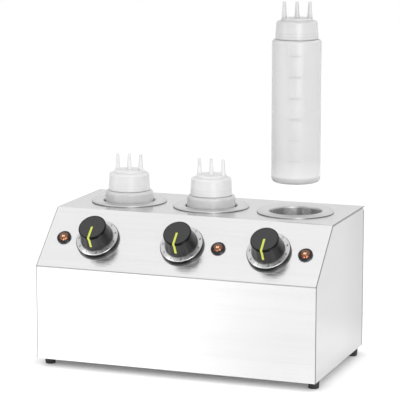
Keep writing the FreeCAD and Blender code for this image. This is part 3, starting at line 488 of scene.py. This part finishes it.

# %% [markdown]
# ## Turned and drawn metal
#
# The wells are drawn from a disc and polished on a lathe, so their scratches run in
# circles. The same holds for the dial rings. Distance from the axis, worked out from the
# object coordinates, is what the noise then follows. Bright fans that spread from the axis
# are painted highlights, so a finish asks which way from the axis a point lies. The wells
# are satin inside, because a mirror finish would leave a deep pot black, and two painted
# highlights brighten them. Their flange has painted shade towards its edge and at the
# front, and a thin painted shadow line round its foot, which gives way to a painted
# highlight at the front. Each dial has one painted highlight, at the front.

# %% Metal with circular scratches
TURNED_METALLIC = 0.8
RING_SCALE = 2500
RING_SHARE = 0.6
POLISH_CLOUD_SCALE = 25.0
POLISH_CLOUD_SHARE = 0.4
PURE_WHITE = 1.0
DIAL_LIGHT = 0.60
DIAL_DARK = 0.52
DIAL_SMOOTH = 0.24
DIAL_ROUGHER = 0.10
DIAL_SCRATCH_DEPTH = 0.00003
DIAL_HIGHLIGHT_WAY = (-0.04, -1.0)
DIAL_HIGHLIGHT_BAND = (0.80, 0.96)
WELL_LIGHT = 0.70
WELL_DARK = 0.60
WELL_SMOOTH = 0.20
WELL_ROUGHER = 0.12
WELL_SCRATCH_DEPTH = 0.00004
WELL_PAINTED_HIGHLIGHTS = (((-0.48, 0.88), (0.95, 0.990)), ((0.14, 0.99), (0.975, 0.990)))
WELL_TOP_BAND = (-0.002, 0)
FLANGE_TONE = 0.685
FLANGE_EDGE_SHADE = 0.64
FLANGE_EDGE_SHADE_BAND = (-0.009, -0.002)
FLANGE_ROUGHER = 0.16
FLANGE_FRONT_WAY = (0.19, -0.98)
FLANGE_FRONT_SHADE_BAND = (0.45, 0.9)
FLANGE_FRONT_SHADE = 0.58
RIM_EDGE_BAND = (-0.0008, -0.00056)
RIM_HEIGHT_BAND = (0.0007, 0.0011)
RIM_SHADOW_TONE = 0.16
RIM_FRONT_HIGHLIGHT_BAND = (0.92, 0.99)
RIM_FRONT_HIGHLIGHT_TONE = 0.32


def shifted(band, by):
    """Return the two ends of a band, moved by a length."""
    return [end + by for end in band]


def turned_metal(name, centre, tilt, depth):
    """Start a metal that is polished in circles round an axis tilted about X.

    Return its finish, a point's place along the axis's own directions, its clouds and its
    shade. The depth is that of the scratches.
    """
    finish = Finish(name)
    spot = finish.tilted(centre, tilt)
    rings = finish.node("ShaderNodeCombineXYZ", None,
                        {"X": from_axis(spot) * RING_SCALE, "Y": spot[2] * RING_SCALE})
    scratches = finish.noise(rings.outputs[0], 1.0, detail=3.0, roughness=0.7)
    clouds = finish.noise(finish.place(), POLISH_CLOUD_SCALE, detail=2.0)
    finish.set(metallic=TURNED_METALLIC).bump(scratches, depth)
    shade = scratches * RING_SHARE + clouds * POLISH_CLOUD_SHARE
    return finish, spot, clouds, shade


def well_steel(name, centre, outside):
    """Make the steel of a well whose flange reaches out to a radius."""
    finish, spot, clouds, shade = turned_metal(name, centre, 0, WELL_SCRATCH_DEPTH)
    radius = from_axis(spot)
    above = spot[2] + (centre.z - housing_high.z)
    front = towards(spot, FLANGE_FRONT_WAY)
    inside = finish.blend(shade, grey(WELL_DARK), grey(WELL_LIGHT))
    # Painted highlights: two bright white fans inside the well.
    for way, band in WELL_PAINTED_HIGHLIGHTS:
        inside = finish.blend(towards(spot, way).band(*band), inside, grey(PURE_WHITE))
    # Painted shade: the flange is darker towards its outer edge and at the front.
    flange = finish.blend(radius.band(*shifted(FLANGE_EDGE_SHADE_BAND, outside)),
                          grey(FLANGE_TONE), grey(FLANGE_EDGE_SHADE))
    flange = finish.blend(front.band(*FLANGE_FRONT_SHADE_BAND), flange, grey(FLANGE_FRONT_SHADE))
    on_top = above.band(*WELL_TOP_BAND)
    # A painted shadow line round the flange's foot, which gives way to a painted highlight at
    # the front.
    rim = finish.blend(front.band(*RIM_FRONT_HIGHLIGHT_BAND), grey(RIM_SHADOW_TONE), grey(RIM_FRONT_HIGHLIGHT_TONE))
    on_rim_shadow = (radius.band(*shifted(RIM_EDGE_BAND, outside))
              * (1 - above.band(*RIM_HEIGHT_BAND)))
    colour = finish.blend(on_rim_shadow, finish.blend(on_top, inside, flange), rim)
    rougher = clouds * WELL_ROUGHER + WELL_SMOOTH
    return finish.set(base_color=colour, roughness=rougher + on_top * FLANGE_ROUGHER).material


def dial_silver(name, seat):
    """Make the silver of a dial, with its painted highlight."""
    finish, spot, clouds, shade = turned_metal(name, seat, panel_tilt, DIAL_SCRATCH_DEPTH)
    colour = finish.blend(shade.band(*SHADE_BAND), grey(DIAL_DARK), grey(DIAL_LIGHT))
    # Painted highlight: a bright white fan at the front of the dial.
    painted_highlight = towards(spot, DIAL_HIGHLIGHT_WAY).band(*DIAL_HIGHLIGHT_BAND)
    return finish.set(base_color=finish.blend(painted_highlight, colour, grey(PURE_WHITE)),
                      roughness=clouds * DIAL_ROUGHER + DIAL_SMOOTH).material


for column in COLUMNS:
    flange_low, flange_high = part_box(f"well_pot_{column}")
    flange_radius = (flange_high.x - flange_low.x) / 2
    dress(well_steel(f"well_steel_{column}", wells[column], flange_radius),
          f"well_pot_{column}")
    dress(dial_silver(f"dial_silver_{column}", knob_seats[column]), f"dial_ring_{column}")
print("wells and dials dressed, flange radius", round(flange_radius, 5))

# %% [markdown]
# ## Black, lime and rubber
#
# Moulded plastic takes the fine etched grain of its mould, so its gloss is broken up at
# a scale well under a millimetre. The same recipe with other numbers gives the rubber
# feet, the nylon gland, the lime pointers and the ceramic blocks. The pointers are left
# out of all reflections, because the real panel shows no lime streak under its knobs.

# %% Moulded plastics
PATCH_SCALE = 60.0
PATCH_GAIN = 1.25
PATCH_LIFT = 0.004
ETCH_ROUGHNESS = 0.14
ETCH_STRENGTH = 0.5


def moulded(name, colour, roughness, grain, depth, gloss=0.5):
    """Make a moulded plastic with a fine etched grain."""
    finish = Finish(name)
    etch = finish.noise(finish.place(), grain, detail=3.0, roughness=0.6)
    patches = finish.noise(finish.place(), PATCH_SCALE, detail=2.0)
    lighter = tuple(min(1, channel * PATCH_GAIN + PATCH_LIFT) for channel in colour)
    finish.set(base_color=finish.blend(patches, colour, lighter),
               roughness=etch * ETCH_ROUGHNESS + (roughness - ETCH_ROUGHNESS / 2),
               specular_ior_level=gloss)
    finish.bump(etch, depth, ETCH_STRENGTH)
    return finish.material


bezel_black = moulded("bezel_black", (0.008, 0.010, 0.014), roughness=0.30,
                      grain=2500.0, depth=0.00002, gloss=0.3)
gasket_black = moulded("gasket_black", (0.006, 0.006, 0.007), roughness=0.34,
                       grain=2500.0, depth=0.00002, gloss=0.15)
nylon_black = moulded("nylon_black", (0.025, 0.025, 0.027), roughness=0.50,
                      grain=2000.0, depth=0.00003)
foot_rubber = moulded("foot_rubber", (0.020, 0.020, 0.020), roughness=0.75,
                      grain=1500.0, depth=0.00005)
pointer_lime = moulded("pointer_lime", (0.48, 0.52, 0.075), roughness=0.45,
                       grain=2500.0, depth=0.00001, gloss=0.3)
ceramic = moulded("ceramic", (0.75, 0.72, 0.66), roughness=0.6,
                  grain=1200.0, depth=0.00003)
feet = [name for name in nodes if name.startswith("foot_") and name.count("_") == 2]
dress(foot_rubber, *feet)
dress(nylon_black, "cable_gland", "gland_nut")
dress(ceramic, "terminal_block")
for column in COLUMNS:
    dress(pointer_lime, f"pointer_{column}")
    nodes[f"pointer_{column}"].visible_glossy = False
    dress(gasket_black, f"dial_gasket_{column}")
    dress(bezel_black, f"lamp_bezel_{column}")
    dress(ceramic, f"thermostat_{column}")
print("feet:", feet)

# %% [markdown]
# ## Knobs
#
# A knob is one black moulding with three finishes. Its lid is satin, with faint straight
# brushing, and painted slightly lighter as painted light, with painted shade along its
# edge. The short wall and groove under the lid are polished and painted almost black, as
# painted shade. The flare below is satin again. The height above the panel tells which
# finish a point has, so the three are masks along the knob's axis.

# %% Knobs with three finishes
LID_BAND = (0.0238, 0.0244)
LID_BRUSHING_AND_LIGHT_TONES = (0.020, 0.036)
LID_EDGE_BAND = (-0.0016, -0.0010)
LID_EDGE_SHADE_TONE = 0.003
WALL_BAND = (0.0196, 0.0204)
WALL_SHADE_TONE = 0.002
FLARE_TONES = (0.010, 0.020)
LID_BRUSHING = (120.0, 2200.0, 2200.0)
BELOW_LID = 0.001
KNOB_GRAIN = 2600.0
KNOB_GRAIN_SHARE = 0.6
KNOB_GRAIN_DEPTH = 0.00003
KNOB_GRAIN_STRENGTH = 0.6
KNOB_ROUGHNESS = 0.3
WALL_SMOOTHER = 0.1
LID_ROUGHER = 0.1
KNOB_GRAIN_ROUGHER = 0.1
KNOB_GLOSS = 0.06
KNOB_COAT = 0.65
KNOB_COAT_ROUGHNESS = 0.24


def knob_finish(name, seat, lid_radius):
    """Make a black knob: satin lid with painted light and a painted shade edge, polished wall
    under it painted almost black as shade, and satin flare.
    """
    finish = Finish(name)
    spot = finish.tilted(seat, panel_tilt)
    on_lid = spot[2].band(*LID_BAND)
    on_edge = from_axis(spot).band(*shifted(LID_EDGE_BAND, lid_radius)) * on_lid
    on_wall = spot[2].band(*WALL_BAND) * (1 - on_lid)
    brushing = finish.noise(finish.place(LID_BRUSHING), 1.0, detail=2.0)
    grain = finish.noise(finish.place(), KNOB_GRAIN, detail=3.0, roughness=0.6)
    flare = finish.blend(grain, *[grey(tone) for tone in FLARE_TONES])
    # Painted light lifts the lid's tone; painted shade darkens its edge and the wall under it.
    lid = finish.blend(brushing, *[grey(tone) for tone in LID_BRUSHING_AND_LIGHT_TONES])
    lid = finish.blend(on_edge, lid, grey(LID_EDGE_SHADE_TONE))
    colour = finish.blend(on_wall, finish.blend(on_lid, flare, lid), grey(WALL_SHADE_TONE))
    rougher = on_wall * -WALL_SMOOTHER + on_lid * LID_ROUGHER + grain * KNOB_GRAIN_ROUGHER
    finish.set(base_color=colour, specular_ior_level=KNOB_GLOSS,
               roughness=rougher + KNOB_ROUGHNESS,
               coat_weight=(1 - on_wall) * (1 - on_edge) * KNOB_COAT,
               coat_roughness=KNOB_COAT_ROUGHNESS)
    relief = grain * (1 - on_lid) * KNOB_GRAIN_SHARE + brushing * on_lid
    finish.bump(relief, KNOB_GRAIN_DEPTH, KNOB_GRAIN_STRENGTH)
    return finish.material


for column in COLUMNS:
    seat = knob_seats[column]
    lid_radius = reach_above(f"knob_{column}", seat, LID_BAND[0] - BELOW_LID)
    dress(knob_finish(f"knob_black_{column}", seat, lid_radius), f"knob_{column}")
print("knobs dressed, lid radius", round(lid_radius, 5))

# %% [markdown]
# ## Milky plastic
#
# The bottles and caps are polyethylene, which lets light wander inside it. So it gets
# some subsurface light and a little transmission, with the same reach for red, green and
# blue, because this plastic is grey and not skin. The thread inside each cap shows
# through the skirt as faint rings. A bottle is painted darker at its thick base, as
# painted shade, and lighter just above it, as painted light that the base sends up into
# the wall. The caps differ in tone by column as painted light and shade: the caps of the
# two bottles in their wells are painted paler than the third.

# %% Bottles and caps
BOTTLE_TONE = 0.75
# Cap tones per column, as painted light and shade: the seated caps paler, the lifted cap darker.
CAP_LIT_AND_SHADED_TONES = {1: 0.77, 2: 0.79, 3: 0.60}
THREAD_BAND = (0.010, 0.011)
THREAD_PITCH = 0.0036
THREAD_RING_BAND = (0.1, 0.9)
THREAD_DARKER = 0.04
BASE_BAND = (0.006, 0.011)
BASE_PAINTED_SHADE = 0.12
BASE_LIGHT_BAND = (0.008, 0.040)
BASE_PAINTED_LIGHT = 0.19
SUBSURFACE_SHARE = 0.5
SUBSURFACE_REACH = 0.008
MILK_CLOUD_SCALE = 18.0
MILK_LIGHTER = 0.03
MILK_ROUGHER = 0.1
SKIN_SCALE = 900.0
SKIN_DEPTH = 0.00002
SKIN_STRENGTH = 0.4


def polyethylene(name, tone, roughness, transmission, thread_from=None, base_from=None):
    """Make milky plastic, with a thread's rings, or from a height up painted shade at its base
    and painted light above it.
    """
    finish = Finish(name)
    clouds = finish.noise(finish.place(), MILK_CLOUD_SCALE, detail=3.0)
    skin = finish.noise(finish.place(), SKIN_SCALE, detail=2.0)
    colour = finish.blend(clouds, grey(tone), grey(tone + MILK_LIGHTER))
    if thread_from is not None:
        height = finish.axes()[2] - thread_from
        wave = (height * (2 * math.pi / THREAD_PITCH)).math("SINE")
        ring = wave.band(*THREAD_RING_BAND)
        colour = finish.blend(ring * (1 - height.band(*THREAD_BAND)), colour,
                              grey(tone - THREAD_DARKER))
    # Painted shade at the base, and painted light just above it.
    if base_from is not None:
        height = finish.axes()[2] - base_from
        colour = finish.blend(1 - height.band(*BASE_LIGHT_BAND), colour,
                              grey(tone + BASE_PAINTED_LIGHT))
        colour = finish.blend(1 - height.band(*BASE_BAND), colour,
                              grey(tone - BASE_PAINTED_SHADE))
    finish.set(base_color=colour,
               roughness=clouds * MILK_ROUGHER + (roughness - MILK_ROUGHER / 2),
               transmission_weight=transmission, ior=1.5,
               subsurface_weight=SUBSURFACE_SHARE, subsurface_radius=(1, 1, 1),
               subsurface_scale=SUBSURFACE_REACH)
    finish.bump(skin, SKIN_DEPTH, SKIN_STRENGTH)
    return finish.material


for column in COLUMNS:
    bottle_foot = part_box(f"bottle_{column}")[0].z
    cap_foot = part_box(f"cap_{column}")[0].z
    bottle_plastic = polyethylene(f"bottle_plastic_{column}", BOTTLE_TONE, roughness=0.25,
                                  transmission=0.20, base_from=bottle_foot)
    cap_plastic = polyethylene(f"cap_plastic_{column}", CAP_LIT_AND_SHADED_TONES[column], roughness=0.30,
                               transmission=0.07, thread_from=cap_foot)
    dress(bottle_plastic, f"bottle_{column}")
    dress(cap_plastic, f"cap_{column}")
print("bottles and caps dressed")

# %% [markdown]
# ## Plated metal and amber lenses
#
# Screws and nuts are zinc plated, the capillaries are copper, and the heater bands are
# clad in bright metal. The lamp lenses are amber acrylic, clear enough to show what is
# behind them.

# %% Amber lenses, plated screws and copper
LENS_COLOUR = (0.86, 0.45, 0.25)
LENS_RIM_COLOUR = (0.62, 0.16, 0.03)
LENS_RIM_BAND = (0.0035, 0.0085)
LENS_ROUGHNESS = 0.02
SWIRL_SCALE = 220.0
SWIRL_REACH = 0.002
SWIRL_ROUGHER = 0.05
PLATE_SCALE = 300.0
PLATE_DARKER = 0.8
PLATE_ROUGHER = 0.15
PLATE_DEPTH = 0.00003
PLATE_STRENGTH = 0.3


def plated(name, colour, roughness):
    """Make plated metal with faint cloudy patches."""
    finish = Finish(name)
    clouds = finish.noise(finish.place(), PLATE_SCALE, detail=3.0)
    darker = tuple(channel * PLATE_DARKER for channel in colour)
    finish.set(base_color=finish.blend(clouds, darker, colour), metallic=1.0,
               roughness=clouds * PLATE_ROUGHER + roughness)
    finish.bump(clouds, PLATE_DEPTH, PLATE_STRENGTH)
    return finish.material


def amber_lens(name, centre):
    """Make the amber plastic of a pilot lamp, deeper in colour towards its rim."""
    finish = Finish(name)
    radius = from_axis(finish.tilted(centre, panel_tilt))
    swirl = finish.noise(finish.place(), SWIRL_SCALE, detail=2.0)
    near_rim = (radius + swirl * SWIRL_REACH).band(*LENS_RIM_BAND)
    finish.set(base_color=finish.blend(near_rim, LENS_COLOUR, LENS_RIM_COLOUR),
               roughness=swirl * SWIRL_ROUGHER + LENS_ROUGHNESS,
               transmission_weight=0.88, ior=1.49)
    return finish.material


zinc = plated("zinc", (0.62, 0.62, 0.63), roughness=0.28)
copper = plated("copper", (0.78, 0.45, 0.30), roughness=0.30)
mica_band = plated("mica_band", (0.55, 0.55, 0.54), roughness=0.35)
dress(zinc, "foot_screws", "foot_nuts", "back_screws", "band_screws", "thermostat_screws",
      "lamp_nuts", "earth_stud", "bulb_pockets")
lamp_spots = {}
for column in COLUMNS:
    low, high = panel_box(f"lamp_lens_{column}")
    centre = (low + high) / 2
    lamp_spots[column] = panel_turn @ Vector((centre.x, centre.y, low.z))
    dress(amber_lens(f"amber_{column}", lamp_spots[column]), f"lamp_lens_{column}")
    dress(copper, f"sensing_bulb_{column}")
    dress(mica_band, f"heater_band_{column}")
    dress(zinc, f"knob_shaft_{column}")
print("lamps at", [tuple(round(c, 4) for c in spot) for spot in lamp_spots.values()])

# %% [markdown]
# ## Pieces of our own
#
# Each new piece is modelled flat at the origin and then settled: moved and tilted to its
# place, with that place applied to its mesh, as the pieces of the frame have it. A piece
# that repeats is modelled once, and each copy gets a mesh of its own. The copies are
# taken while the first one is still at the origin, so column 1 is settled last.

# %% Helpers for new pieces
COPY_ORDER = COLUMNS[1:] + COLUMNS[:1]
SAME_POINT = 0.000001


def deselect():
    """Leave nothing selected, because operators act on all that is."""
    bpy.ops.object.select_all(action="DESELECT")


def settle(piece, place, turn=None):
    """Put a piece at its place, tilted if asked, and apply that to its mesh."""
    deselect()
    turned = turn.to_4x4() if turn is not None else Matrix.Identity(4)
    piece.matrix_world = Matrix.Translation(place) @ turned
    piece.select_set(True)
    bpy.context.view_layer.objects.active = piece
    bpy.ops.object.transform_apply(location=True, rotation=True, scale=True)


def copied(piece, name):
    """Return a copy of a piece with its own mesh."""
    twin = piece.copy()
    twin.data = piece.data.copy()
    twin.name = name
    twin.data.name = name
    bpy.context.collection.objects.link(twin)
    return twin


def clean_mesh(piece):
    """Merge doubled points and turn every face outwards."""
    deselect()
    piece.select_set(True)
    bpy.context.view_layer.objects.active = piece
    bpy.ops.object.mode_set(mode="EDIT")
    bpy.ops.mesh.select_all(action="SELECT")
    bpy.ops.mesh.remove_doubles(threshold=SAME_POINT)
    bpy.ops.mesh.normals_make_consistent(inside=False)
    bpy.ops.object.mode_set(mode="OBJECT")


# %% [markdown]
# ## Numbers on the dials
#
# The silver ring carries small printed numbers, eleven of them all the way round. They
# are plain text made into thin solid strokes that lie on the ring. They all stand
# upright, so that the operator can read them.

# %% Dial numbers
NUMBER_SIZE = 0.0050
NUMBER_BOLDNESS = 0.00012
NUMBER_RADIUS = 0.0270
NUMBER_FIRST = math.radians(14)
NUMBER_COUNT = 11
INK_HEIGHT = 0.00004
DIAL_BELOW_SEAT = 0.0008

glyphs = []
for number in range(NUMBER_COUNT):
    deselect()
    bpy.ops.object.text_add(location=(0, 0, 0))
    glyph = bpy.context.object
    glyph.data.body = str(number)
    glyph.data.size = NUMBER_SIZE
    glyph.data.align_x = "CENTER"
    glyph.data.align_y = "CENTER"
    glyph.data.extrude = INK_HEIGHT
    glyph.data.offset = NUMBER_BOLDNESS
    glyph.data.resolution_u = 3
    bpy.ops.object.convert(target="MESH")
    angle = NUMBER_FIRST - number * 2 * math.pi / NUMBER_COUNT
    glyph.location = (NUMBER_RADIUS * math.sin(angle), -NUMBER_RADIUS * math.cos(angle), 0)
    glyphs.append(glyph)
deselect()
for glyph in glyphs:
    glyph.select_set(True)
bpy.context.view_layer.objects.active = glyphs[0]
bpy.ops.object.transform_apply(location=True, rotation=True, scale=True)
bpy.ops.object.join()
dial_numbers = glyphs[0]
dial_numbers.name = "dial_numbers_1"
clean_mesh(dial_numbers)
ink = moulded("dial_ink", (0.05, 0.05, 0.055), roughness=0.6, grain=3000.0,
              depth=0.00001)
dial_numbers.data.materials.clear()
dial_numbers.data.materials.append(ink)
for column in COPY_ORDER:
    piece = dial_numbers if column == 1 else copied(dial_numbers, f"dial_numbers_{column}")
    settle(piece, knob_seats[column] - panel_normal * DIAL_BELOW_SEAT, panel_turn)
    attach(piece, "housing")
print("dial numbers:", len(dial_numbers.data.polygons), "faces each")

# %% [markdown]
# ## Marks on the bottles
#
# Each bottle has six short moulded ridges up its side, one for every hundred millilitres
# or so. One ridge is a small rectangle spun round the bottle's axis through the angle
# that the ridge covers. An array then repeats it up the side. The ridges are painted
# darker than the bottle, as painted shade, so that they show faintly as they do on the
# real one.

# %% Bottle marks
MARK_COUNT = 6
MARK_SPACING = 0.0296
MARK_FIRST = 0.0337
MARK_THICKNESS = 0.0004
MARK_HEIGHT = 0.0011
MARK_ANGLE = math.radians(28)
MARK_FACES = math.radians(-75.4)
MARK_SHADE_TONE = 0.51
MARK_STEPS = 10

bottle_low, bottle_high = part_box("bottle_1")
bottle_radius = (bottle_high.x - bottle_low.x) / 2
deselect()
bpy.ops.mesh.primitive_plane_add(size=MARK_HEIGHT, location=(bottle_radius, 0, 0),
                                 rotation=(math.pi / 2, 0, 0))
marks = bpy.context.object
marks.name = "bottle_marks_1"
bpy.ops.object.transform_apply(location=True, rotation=True, scale=True)
bpy.ops.object.mode_set(mode="EDIT")
bpy.ops.mesh.select_all(action="SELECT")
bpy.ops.transform.resize(value=(MARK_THICKNESS / MARK_HEIGHT, 1, 1),
                         center_override=(bottle_radius, 0, 0))
bpy.ops.mesh.spin(steps=MARK_STEPS, angle=MARK_ANGLE, center=(0, 0, 0), axis=(0, 0, 1))
bpy.ops.object.mode_set(mode="OBJECT")
repeat = marks.modifiers.new("up_the_side", "ARRAY")
repeat.count = MARK_COUNT
repeat.use_relative_offset = False
repeat.use_constant_offset = True
repeat.constant_offset_displace = (0, 0, MARK_SPACING)
bpy.ops.object.modifier_apply(modifier=repeat.name)
clean_mesh(marks)
# The marks are painted darker than the bottle, as painted shade.
marks.data.materials.append(polyethylene("mark_plastic", MARK_SHADE_TONE, roughness=0.45,
                                         transmission=0.0))
mark_turn = Matrix.Rotation(MARK_FACES + MARK_ANGLE / 2, 3, "Z")
for column in COPY_ORDER:
    piece = marks if column == 1 else copied(marks, f"bottle_marks_{column}")
    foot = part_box(f"bottle_{column}")[0].z
    settle(piece, (wells[column].x, wells[column].y, foot + MARK_FIRST), mark_turn)
    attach(piece, f"bottle_unit_{column}")
print("bottle marks reach out to", round(bottle_radius + MARK_THICKNESS / 2, 5))

# %% [markdown]
# ## Lamp electrodes
#
# Behind each amber lens glows a small neon lamp. Through the lens its two electrodes
# show as one bright bent wire, so that is what is modelled. The wire is a ring of points
# that is extruded straight, spun through half a turn and extruded back, so it keeps one
# thickness all the way.

# %% Lamp electrodes
WIRE_RADIUS = 0.00055
LEG_LENGTH = 0.0028
BEND_RADIUS = 0.0013
WIRE_BELOW_LENS = 0.0022
WIRE_SIDES = 10
BEND_STEPS = 8
SMOOTH_ANGLE = math.radians(40)
FLICKER_SCALE = 900.0
FLICKER_ROUGHER = 0.2
WIRE_ROUGHNESS = 0.3
WIRE_COLOUR = (0.95, 0.75, 0.55)
WIRE_BRIGHT_COLOUR = (1.0, 0.88, 0.72)
NEON_COLOUR = (1.0, 0.80, 0.66, 1)
NEON_STRENGTH = 1.2

deselect()
bpy.ops.mesh.primitive_circle_add(vertices=WIRE_SIDES, radius=WIRE_RADIUS,
                                  fill_type="NGON", location=(-BEND_RADIUS, 0, 0),
                                  rotation=(math.pi / 2, 0, 0))
wire = bpy.context.object
wire.name = "lamp_electrodes_1"
bpy.ops.object.transform_apply(location=True, rotation=True, scale=True)
bpy.ops.object.mode_set(mode="EDIT")
bpy.ops.mesh.select_all(action="SELECT")
bpy.ops.mesh.extrude_region_move(TRANSFORM_OT_translate={"value": (0, -LEG_LENGTH, 0)})
bpy.ops.mesh.spin(steps=BEND_STEPS, angle=math.pi, center=(0, -LEG_LENGTH, 0), axis=(0, 0, 1))
bpy.ops.mesh.extrude_region_move(TRANSFORM_OT_translate={"value": (0, LEG_LENGTH, 0)})
bpy.ops.object.mode_set(mode="OBJECT")
clean_mesh(wire)
bpy.ops.object.shade_smooth_by_angle(angle=SMOOTH_ANGLE)
neon = Finish("electrode_glow")
flicker = neon.noise(neon.place(), FLICKER_SCALE, detail=2.0)
neon.set(base_color=neon.blend(flicker, WIRE_COLOUR, WIRE_BRIGHT_COLOUR),
         roughness=flicker * FLICKER_ROUGHER + WIRE_ROUGHNESS,
         emission_color=NEON_COLOUR, emission_strength=NEON_STRENGTH)
wire.data.materials.append(neon.material)
for column in COPY_ORDER:
    piece = wire if column == 1 else copied(wire, f"lamp_electrodes_{column}")
    low, high = panel_box(f"lamp_lens_{column}")
    lift = panel_normal * (high.z - low.z - WIRE_BELOW_LENS)
    upslope = panel_turn @ Vector((0, LEG_LENGTH / 2, 0))
    settle(piece, lamp_spots[column] + lift + upslope, panel_turn)
    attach(piece, "housing")
print("electrodes:", len(wire.data.polygons), "faces each")

# %% [markdown]
# ## Sizes at the end
#
# The box of the dressed model is printed. The dressed model must not be larger than the
# frame.

# %% Print the size of the dressed model
low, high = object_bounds()
print("visual box:", [round(c, 4) for c in (*low, *high)])
